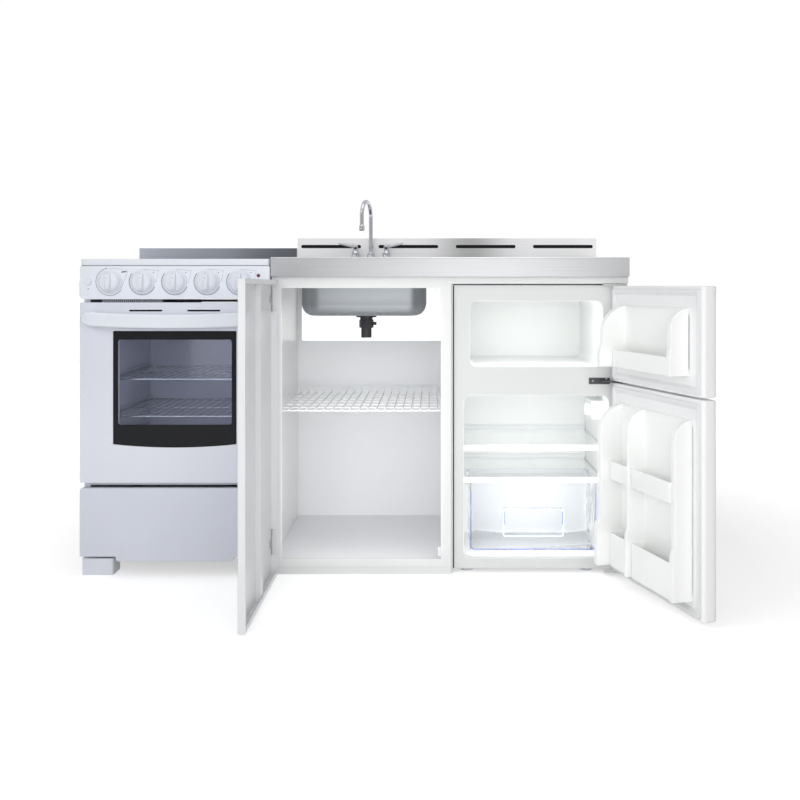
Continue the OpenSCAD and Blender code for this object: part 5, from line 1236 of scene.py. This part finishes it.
# %% [markdown]
# ## Doors of the fridge
# Each door is a steel skin wrapped round foam, closed by a moulded cap at each
# end, with a vacuum-formed lining inside: side ribs with long round shoulders,
# bins between them, and a folded seal all round. It is easiest to shape the
# door closed, where its faces are square to the axes, and to swing the whole
# shape about the hinge line by the angle at which the door rests.

# %% Planes of the closed doors
case_lo, case_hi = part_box("fridge_case")
case_lo, case_hi = case_lo * 1000, case_hi * 1000
SWING = 106.0
door_axis = Vector(JOINTS["cooler_door"]["pos_m"]) * 1000
GASKET, DOOR_T = 7.7, 42.0
in_y = case_lo.y - GASKET - 0.3
out_y = in_y - DOOR_T
swing = (Matrix.Translation(Vector((door_axis.x, door_axis.y, 0)) * MM)
         @ Matrix.Rotation(math.radians(SWING), 4, "Z")
         @ Matrix.Translation(Vector((-door_axis.x, -door_axis.y, 0)) * MM))


def door_plan(inset, z, front_r=17.0, back_r=9.0):
    """Section of a door from above, wider curves on its outer corners."""
    pts = []
    x0, x1 = case_lo.x + inset, case_hi.x - inset
    y0, y1 = out_y + inset, in_y - min(inset, 1.0)
    for cx, cy, r, a0 in ((x1 - back_r, y1 - back_r, back_r, 0),
                          (x0 + back_r, y1 - back_r, back_r, 90),
                          (x0 + front_r, y0 + front_r, front_r, 180),
                          (x1 - front_r, y0 + front_r, front_r, 270)):
        pts += [(cx + r * math.cos(math.radians(a0 + 11.25 * k)),
                 cy + r * math.sin(math.radians(a0 + 11.25 * k))) for k in range(9)]
    return [Vector((x, y, z)) * MM for x, y in pts]


def door_skin(z0, z1):
    """The skin and its end caps, with the fine line between them."""
    bm = bmesh.new()
    low = [(3.2, 0), (1.2, 0.9), (0.2, 2.8), (0.0, 5.0), (0.0, 13.2), (0.7, 13.5),
           (0.7, 14.3), (0.25, 14.6)]
    rings = [door_plan(i, z0 + h) for i, h in low]
    rings += [door_plan(i, z1 - h) for i, h in reversed(low)]
    skin(bm, rings)
    outward(bm)
    return bm


def softened(bm, name, width, steps=3):
    """The solid with its sharp edges rounded, as a plain mesh."""
    outward(bm)
    work = from_bmesh(bm, name + "_work")
    round_edges(work, width, steps)
    return plain_copy(work, name)


def bored(obj, name, points, radius, length):
    """The object with upright round holes at the points, for its pins."""
    bm = bmesh.new()
    for x, y, z in points:
        turned(bm, [(0, 0), (radius, 0), (radius, length), (0, length)],
               Matrix.Translation(Vector((x, y, z)) * MM), sides=24)
    outward(bm)
    tool = from_bmesh(bm, name + "_drill")
    cut = obj.modifiers.new("bores", "BOOLEAN")
    cut.operation, cut.solver, cut.object = "DIFFERENCE", "EXACT", tool
    made = plain_copy(obj, name)
    bpy.data.objects.remove(tool)
    return made


# %% Ribs, bins and lining of a door
def rib(bm, x0, x1, depth, z0, z1, foot):
    """An upright rib: round shoulder on top, a deeper foot at the bottom."""
    slim = depth - foot
    shoulder = min(slim + 1, 80)
    profile = [(in_y - 3, z0), (in_y + depth, z0)]
    step_z = z0 + (z1 - z0) * 0.24
    for k in range(7):
        t = k / 6
        profile.append((in_y + depth - foot * (3 * t * t - 2 * t * t * t), step_z + 26 * t))
    for k in range(9):
        a = math.radians(11.25 * k)
        profile.append((in_y + slim - shoulder + shoulder * math.cos(a),
                        z1 - shoulder + shoulder * math.sin(a)))
    profile.append((in_y - 3, z1))
    skin(bm, [[Vector((x, y, z)) * MM for y, z in profile] for x in (x0, x1)])


def bin_tray(bm, x0, x1, z, high, deep=50.0, wall=2.6):
    """An open tray with a round front, its back end inside the door."""
    def ring(inset, height, r):
        return plan_ring(x0 + inset, x1 - inset, in_y - 12 + inset, in_y + deep - inset, r,
                         z + height)
    skin(bm, [ring(3.0, 0, 13), ring(0.8, 0.9, 15), ring(0, 3.2, 16), ring(0, high - 5, 16),
              ring(-0.3, high - 2.2, 16), ring(-0.3, high - 0.7, 16), ring(0.6, high, 15),
              ring(wall - 0.6, high, 14), ring(wall, high - 0.9, 14), ring(wall, 7, 14),
              ring(wall + 1.2, 4.9, 13), ring(wall + 3.5, 4.0, 11)])


def lining(bm, x0, x1, z0, z1, thick=9.0):
    """The raised panel that the ribs stand on."""
    skin(bm, [front_ring(x0 + i, x1 - i, z0 + i, z1 - i, 16 - min(i, 6), y)
              for i, y in ((0, in_y - 4), (0, in_y + thick - 6), (1.5, in_y + thick - 2.4),
                           (5.5, in_y + thick))])


def seal(name, body, z0, z1, node):
    """Folded seal: one bellows section round a rounded rectangle."""
    x0, x1 = case_lo.x + 8, door_axis.x
    section = [(0.0, 0.0), (0.0, 2.4), (1.6, 3.6), (0.8, 4.8), (0.4, 6.6), (1.6, GASKET),
               (8.4, GASKET), (10.2, 6.4), (9.4, 5.0), (10.8, 3.8), (13.6, 3.2), (15.8, 1.4),
               (16.0, 0.0)]
    bm = bmesh.new()
    skin(bm, [front_ring(x0 + i, x1 - i, z0 + i, z1 - i, max(6 - i * 0.2, 3), in_y + y)
              for i, y in section], closed_loop=True)
    outward(bm)
    bm.transform(swing)
    hand_over(smooth(from_bmesh(bm, name), 40), body, seal_rubber, [node])


def fridge_door(node, z0, z1, seal_node, spans, bins, ribs):
    """Skin, bores, lining and seal of one door; spans are the bins' x limits."""
    skin_obj = smooth(from_bmesh(door_skin(z0, z1), node + "_skin_work"), 40)
    skin_obj = bored(skin_obj, node + "_skin",
                     [(door_axis.x, door_axis.y, z0 - 1), (door_axis.x, door_axis.y, z1 - 15)],
                     3.3, 16)
    skin_obj.data.transform(swing)
    hand_over(skin_obj, node, paint_lit_doors, [node])
    bm = bmesh.new()
    for x0, x1, depth, foot in ribs:
        rib(bm, x0, x1, depth, spans["z"][0], spans["z"][1], foot)
    ribs_obj = softened(bm, node + "_ribs", 3.2)
    bm = bmesh.new()
    lining(bm, ribs[0][0], ribs[-1][1], *spans["z"])
    for (x0, x1) in spans["x"]:
        for z, high in bins:
            bin_tray(bm, x0, x1, z, high)
    outward(bm)
    made = joined([ribs_obj, smooth(from_bmesh(bm, node + "_bins"), 40)], node + "_lining")
    made.data.transform(swing)
    hand_over(made, node, lining_lit_doors)
    seal(node + "_seal", node, z0 + 8, z1 - 8, seal_node)
    print(node, "skin", len(skin_obj.data.polygons), "lining", len(made.data.polygons))


# In millimetres: "x" and "z" are the limits of the bins and of the ribs; a bin
# is its foot and its height; a rib is its two x limits, its depth, and how much
# deeper its foot is.
d_lo, d_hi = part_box("freezer_door")
fridge_door("freezer_door", d_lo.z * 1000, d_hi.z * 1000, "freezer_gasket",
            {"x": [(83.4, 390.3)], "z": (589, 753)}, [(589, 46)],
            [(65.4, 83.4, 54, 4), (390.3, 412.3, 82, 8)])
d_lo, d_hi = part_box("cooler_door")
fridge_door("cooler_door", d_lo.z * 1000, d_hi.z * 1000, "cooler_gasket",
            {"x": [(66.1, 281.3), (291.3, 406.3)], "z": (52, 486)}, [(52, 90), (285, 50)],
            [(48.1, 66.1, 54, 6), (281.3, 291.3, 60, 6), (406.3, 428.3, 82, 10)])

# %% [markdown]
# ## Inside the fridge
# Two glass shelves with white edge strips lie on ledges of the liner, the
# crisper is one clear moulding whose edges look blue because the light runs
# along inside the wall, and the thermostat has its scale printed round a dial.

# %% Glass shelves and their strips
g_lo, g_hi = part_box("fridge_shelves")
g_lo, g_hi = g_lo * 1000, g_hi * 1000
glass, strips = bmesh.new(), bmesh.new()
for top in (g_hi.z - 12, g_lo.z + 12):
    skin(glass, [plan_ring(g_lo.x + 2, g_hi.x - 2, g_lo.y + 5, g_hi.y - 2, 3, z)
                 for z in (top - 4, top - 0.1)])
    for y0, y1, z0, z1 in ((g_lo.y, g_lo.y + 9, top - 12, top + 3),
                           (g_hi.y - 6, g_hi.y, top - 5, top + 12)):
        skin(strips, [front_ring(g_lo.x, g_hi.x, z0, z1, 2.5, y, 4) for y in (y0, y1)])
outward(glass)
hand_over(from_bmesh(glass, "shelf_panes"), "base", shelf_glass,
          ["fridge_shelves"])
hand_over(softened(strips, "shelf_strips", 1.6), "base", white_plastic)

# %% Rim of the crisper, and its edges painted blue for the light that runs along inside its clear wall
c_lo, c_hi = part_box("crisper_drawer")
c_lo, c_hi = c_lo * 1000, c_hi * 1000
bm = bmesh.new()
rim = [(0.0, -1.2), (-1.4, -0.6), (-1.4, 0.9), (0.4, 1.4), (2.6, 0.9), (3.0, -0.6), (2.7, -1.2)]
skin(bm, [plan_ring(c_lo.x + i, c_hi.x - i, c_lo.y + i, c_hi.y - i, 14 - i, c_hi.z + h)
          for i, h in rim], closed_loop=True)
mid_x = (c_lo.x + c_hi.x) / 2
grip = (mid_x - 86, mid_x + 86, c_lo.z + 40, c_lo.z + 116)
skin(bm, [front_ring(grip[0] + i, grip[1] - i, grip[2] + i, grip[3] - i, 5, c_lo.y + y)
          for i, y in ((0.4, 2.0), (-1.4, 1.2), (-1.8, -0.8), (0.2, -1.2), (1.4, 0.6))],
     closed_loop=True)
outward(bm)
hand_over(smooth(from_bmesh(bm, "crisper_rim"), 50), "crisper", crisper_rim)
bm = bmesh.new()
corner = [(c_lo.x + 13 - 10 * math.sin(a), c_lo.z + 12 - 10 * math.cos(a))
          for a in [math.radians(18 * k) for k in range(6)]]
outline = [(c_lo.x + 3, c_hi.z - 26)] + corner[::-1]
outline += [(2 * mid_x - x, z) for x, z in reversed(outline)]
swept(bm, [Vector((x, c_lo.y - 0.2, z)) * MM for x, z in outline], 1.0 * MM, sides=10)
for s_x in (-1, 1):
    x = mid_x + s_x * 84
    swept(bm, [Vector((x, c_lo.y - 1.3, z)) * MM for z in (grip[2] + 34, grip[3] - 4)],
          0.7 * MM, sides=8)
outward(bm)
hand_over(smooth(from_bmesh(bm, "crisper_edges"), 50), "crisper", crisper_edge)

# %% Scale of the thermostat
t_lo, t_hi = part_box("thermostat_dial")
dial_y, dial_z = (t_lo.y + t_hi.y) * 500, (t_lo.z + t_hi.z) * 500
bm = bmesh.new()
for k in range(11):
    a = math.radians(-140 + 28 * k)
    spot = Vector((t_hi.x * 1000 + 0.25, dial_y + 22.5 * math.sin(a), dial_z + 22.5 * math.cos(a)))
    tick = Matrix.Translation(spot * MM) @ Matrix.Rotation(-a, 4, "X")
    size = (0.12, 0.5, 2.6 if k % 5 == 0 else 1.7)
    corners = [tick @ (Vector((sx * size[0], sy * size[1], sz * size[2])) * MM)
               for sx in (-1, 1) for sy, sz in ((-1, -1), (1, -1), (1, 1), (-1, 1))]
    skin(bm, [corners[:4], corners[4:]])
outward(bm)
hand_over(from_bmesh(bm, "dial_scale"), "base", ink_dark)

# %% [markdown]
# ## Dark joints, painted as shade
# Where two boxes stand side by side the photo shows a thin dark line: a strip
# of black foam closes the joint round the fridge, and its black is painted
# shade in the gap. The hob sits on the control panel with a grey bead of
# sealant, whose dark grey is partly painted shadow under the hob's rim. The
# black strip behind the splash's slots is painted shade as well.

# %% Black felt behind the slots of the splash, painted shade that makes the slots look dark
SHADE_FRONT, SHADE_REAR, SLOT_UP = 2.8, 5.2, 0.645
f_lo, f_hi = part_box("backsplash")
f_lo, f_hi = f_lo * 1000, f_hi * 1000
slot_z = f_lo.z + (f_hi.z - f_lo.z) * SLOT_UP
bm = bmesh.new()
skin(bm, [front_ring(f_lo.x + 4, f_hi.x - 4, slot_z - 9, slot_z + 9, 1, f_lo.y + y, 2)
          for y in (SHADE_FRONT, SHADE_REAR)])
outward(bm)
splash_shade = painted("vent_splash_shade", card(20, 20, 22), rough=0.9, peel=0.001, bump=0.5, dust=0.0)
hand_over(from_bmesh(bm, "vent_felt_strip"), "base", splash_shade)
print("felt at z", round(slot_z, 1), "y", round(f_lo.y + SHADE_FRONT, 1))

# %% Black foam round the fridge, painted shade in the joint, and the bead under the hob, partly painted shadow
bm = bmesh.new()
for x0, x1, y0, y1, z0, z1 in (
        (2.4, 5.4, case_lo.y - 1.6, case_lo.y - 0.2, 14, 806),
        (2.4, 486, case_lo.y - 4, case_lo.y + 8, 808.3, 811.8)):
    skin(bm, [plan_ring(x0, x1, y0, y1, 1.2, z, 3) for z in (z0, z1)])
outward(bm)
hand_over(softened(bm, "foam_strips", 0.4, 1), "base", black_plastic)
bm = bmesh.new()
bead_z = panel_hi.z * 1000
bead_and_shadow_grey = painted("bead_and_shadow_grey", card(104, 108, 122), rough=0.6, peel=0.002, dust=0.0)
bead = [(cooker_x - 258, -296), (cooker_x - 258, -302.2), (cooker_x + 258, -302.2),
        (cooker_x + 258, -296)]
swept(bm, [Vector((x, y, bead_z)) * MM for x, y in bead], 1.1 * MM, sides=8)
outward(bm)
hand_over(smooth(from_bmesh(bm, "hob_bead"), 60), "base", bead_and_shadow_grey)

# %% [markdown]
# ## Screws, and the rods of the condenser
# Screws hold the hinges, the splash and the cooker's rear panel. One head is
# modelled and the fastener tree sets it on points that carry a direction. The
# condenser's bent tube is held between rows of thin upright rods.

# %% Screws
_, hinge_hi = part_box("fridge_hinges")
hinge_hi = hinge_hi * 1000
front, up, rear = (0, -1, 0), (0, 0, 1), (0, 1, 0)
split = MIDDLE_HINGE_Z * 1000
fastened([(door_axis.x - 76, case_lo.y - 2, split, front),
          (door_axis.x - 38, case_lo.y - 2, split + 5.6, front)],
         "middle_hinge_screws", "base", hinge_steel, 3.0, 1.3)
fastened([(door_axis.x - 38, case_lo.y + y, hinge_hi.z, up) for y in (12, 30)]
         + [(door_axis.x - 8, case_lo.y + 30, hinge_hi.z, up)],
         "top_hinge_screws", "base", hinge_steel, 3.4, 1.4)
p_lo, p_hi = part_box("cooker_panels")
p_lo, p_hi = p_lo * 1000, p_hi * 1000
fastened([(x, p_hi.y, z, rear) for x in (p_lo.x + 12, p_hi.x - 12)
          for z in (80, 330, 580, 840)],
         "rear_panel_screws", "base", hinge_steel, 3.4, 1.4)
_, b_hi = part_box("backsplash")
fastened([(x, b_hi.y * 1000, b_hi.z * 1000 - 12, rear) for x in (-440, -220, 0, 220, 430)],
         "splash_screws", "base", hinge_steel, 3.2, 1.3)

# %% Rods of the condenser
_, q_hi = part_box("cooling_circuit")
q_hi = q_hi * 1000
RODS, ROD_STEP = 45, 8.0
rod_z0, rod_z1 = case_lo.z + 184, q_hi.z - 4
rods = wire_row([(case_lo.x + 66, q_hi.y - 1.2, rod_z0), (case_lo.x + 66, q_hi.y - 1.2, rod_z1)],
                "condenser_rods", 0.9, black_metal, RODS, (ROD_STEP, 0, 0), sides=6)
hand_over(rods, "base", black_metal)
print("rods", RODS, "from", round(rod_z0), "to", round(rod_z1))

# %% [markdown]
# ## Camera, floor and light
# The photograph was taken level and from far enough away to keep the uprights
# upright, with the frame slid down and to the side. A lens shift does the same
# here. The light is a plain soft one; the white of the background is the
# floor's and the world's own colour, seen by the camera.

# %% Camera
cam_data = bpy.data.cameras.new("camera")
cam_data.sensor_width = 36.0
cam_data.lens = 47.1
cam_data.shift_x = -0.04
cam_data.shift_y = -0.144
camera = put_in_scene(cam_data, "camera")
camera.location = (-0.0565, -3.204, 0.809)
camera.rotation_euler = (math.radians(90), 0, 0)
bpy.context.scene.camera = camera

# %% Floor
bm = bmesh.new()
bmesh.ops.create_grid(bm, x_segments=1, y_segments=1, size=40)
floor = from_bmesh(bm, "floor")
floor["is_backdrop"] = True
floor_mat = bpy.data.materials.new("pale_floor")
floor_mat.use_nodes = True
tree = floor_mat.node_tree
shader = tree.nodes["Principled BSDF"]
shader.inputs["Base Color"].default_value = (0.82, 0.82, 0.82, 1)
shader.inputs["Roughness"].default_value = 0.9
shader.inputs["Specular IOR Level"].default_value = 0.0
path = add(tree, "ShaderNodeLightPath")
seen = add(tree, "ShaderNodeMath", {0: path.outputs["Is Camera Ray"],
                                    1: path.outputs["Is Glossy Ray"]}, operation="MAXIMUM")
place = add(tree, "ShaderNodeTexCoord").outputs["Object"]
length = add(tree, "ShaderNodeVectorMath", {0: place}, operation="LENGTH")
far = add(tree, "ShaderNodeMapRange", {"Value": length.outputs["Value"], "From Min": 0.9,
                                       "From Max": 2.6, "To Min": 0.5, "To Max": 1.0})
lift = add(tree, "ShaderNodeMath", {0: seen.outputs[0], 1: far.outputs[0]},
           operation="MULTIPLY")
shader.inputs["Emission Color"].default_value = (1, 1, 1, 1)
tree.links.new(lift.outputs[0], shader.inputs["Emission Strength"])
floor.data.materials.append(floor_mat)

# %% World
world = bpy.data.worlds.new("studio")
bpy.context.scene.world = world
world.use_nodes = True
tree = world.node_tree
back = tree.nodes["Background"]
back.inputs["Color"].default_value = (1, 1, 1, 1)
path = add(tree, "ShaderNodeLightPath")
seen = add(tree, "ShaderNodeMath", {0: path.outputs["Is Camera Ray"],
                                    1: path.outputs["Is Transmission Ray"]},
           operation="MAXIMUM")
level = add(tree, "ShaderNodeMapRange", {"Value": seen.outputs[0], "To Min": 0.3, "To Max": 1.02})
mirrored = add(tree, "ShaderNodeMath", {0: path.outputs["Is Glossy Ray"], 1: 0.5},
               operation="MULTIPLY")
level = add(tree, "ShaderNodeMath", {0: level.outputs[0], 1: mirrored.outputs[0]},
            operation="ADD")
tree.links.new(level.outputs[0], back.inputs["Strength"])


# %% Lamps
def soft_lamp(name, place, aim, size, power):
    data = bpy.data.lights.new(name, "AREA")
    data.shape = "RECTANGLE"
    data.size, data.size_y = size
    data.energy = power
    lamp = put_in_scene(data, name)
    lamp.location = place
    lamp.rotation_mode = "QUATERNION"
    lamp.rotation_quaternion = (Vector(aim) - Vector(place)).to_track_quat("-Z", "Y")
    return lamp


front_lamp = soft_lamp("front", (0.1, -4.3, 1.25), (0.0, 0, 0.55), (3.6, 2.2), 72)
front_lamp.visible_glossy = False
soft_lamp("key", (-2.6, -3.0, 2.9), (0.1, 0, 0.5), (1.8, 1.8), 20)
soft_lamp("top", (-0.1, -0.5, 3.0), (-0.1, 0, 0.6), (2.6, 1.4), 12)
door_lamp = soft_lamp("door_side", (-0.35, -0.95, 0.45), (0.62, -0.55, 0.42), (0.3, 0.7), 1.6)
door_lamp.visible_camera = False
door_lamp.visible_glossy = False


def inside_lamp(name, x, z, size, power, y=-0.3):
    """A soft card at a doorway that only lights what is behind it."""
    lamp = soft_lamp(name, (x, y, z), (x, y + 1, z), size, power)
    lamp.visible_camera = False
    lamp.visible_glossy = False
    lamp.visible_transmission = False


inside_lamp("freezer_light", 0.237, 0.671, (0.34, 0.16), 0.36, y=-0.252)
inside_lamp("fridge_light", 0.237, 0.27, (0.38, 0.42), 0.9, y=-0.252)
inside_lamp("cabinet_light", -0.254, 0.42, (0.42, 0.72), 0.76)
inside_lamp("oven_light", -0.7695, 0.5, (0.3, 0.24), 0.27, y=-0.24)

# %% Two dark boards beside the camera, seen only in polished metal
BOARD_X, BOARD_Y = 2.7, -3.3
board_mat = bpy.data.materials.new("dark_board")
board_mat.use_nodes = True
board_mat.node_tree.nodes["Principled BSDF"].inputs["Base Color"].default_value = (
    0.02, 0.02, 0.02, 1)
board_mat.node_tree.nodes["Principled BSDF"].inputs["Roughness"].default_value = 1.0
for side in (-1, 1):
    bm = bmesh.new()
    corners = [(side * BOARD_X + u * 0.75, BOARD_Y + 0.2 * abs(u), z)
               for u, z in ((-1, 0.2), (1, 0.2), (1, 3.4), (-1, 3.4))]
    bm.faces.new([bm.verts.new(p) for p in corners])
    board = from_bmesh(bm, f"dark_board_{'left' if side < 0 else 'right'}")
    board.data.materials.append(board_mat)
    board.visible_camera = board.visible_diffuse = board.visible_shadow = False
    board.visible_transmission = False
    board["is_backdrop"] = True

# %% View and sizes
bpy.context.scene.view_settings.view_transform = "Standard"
lo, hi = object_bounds()
print("visual box", [round(v, 3) for v in (*lo, *hi)])
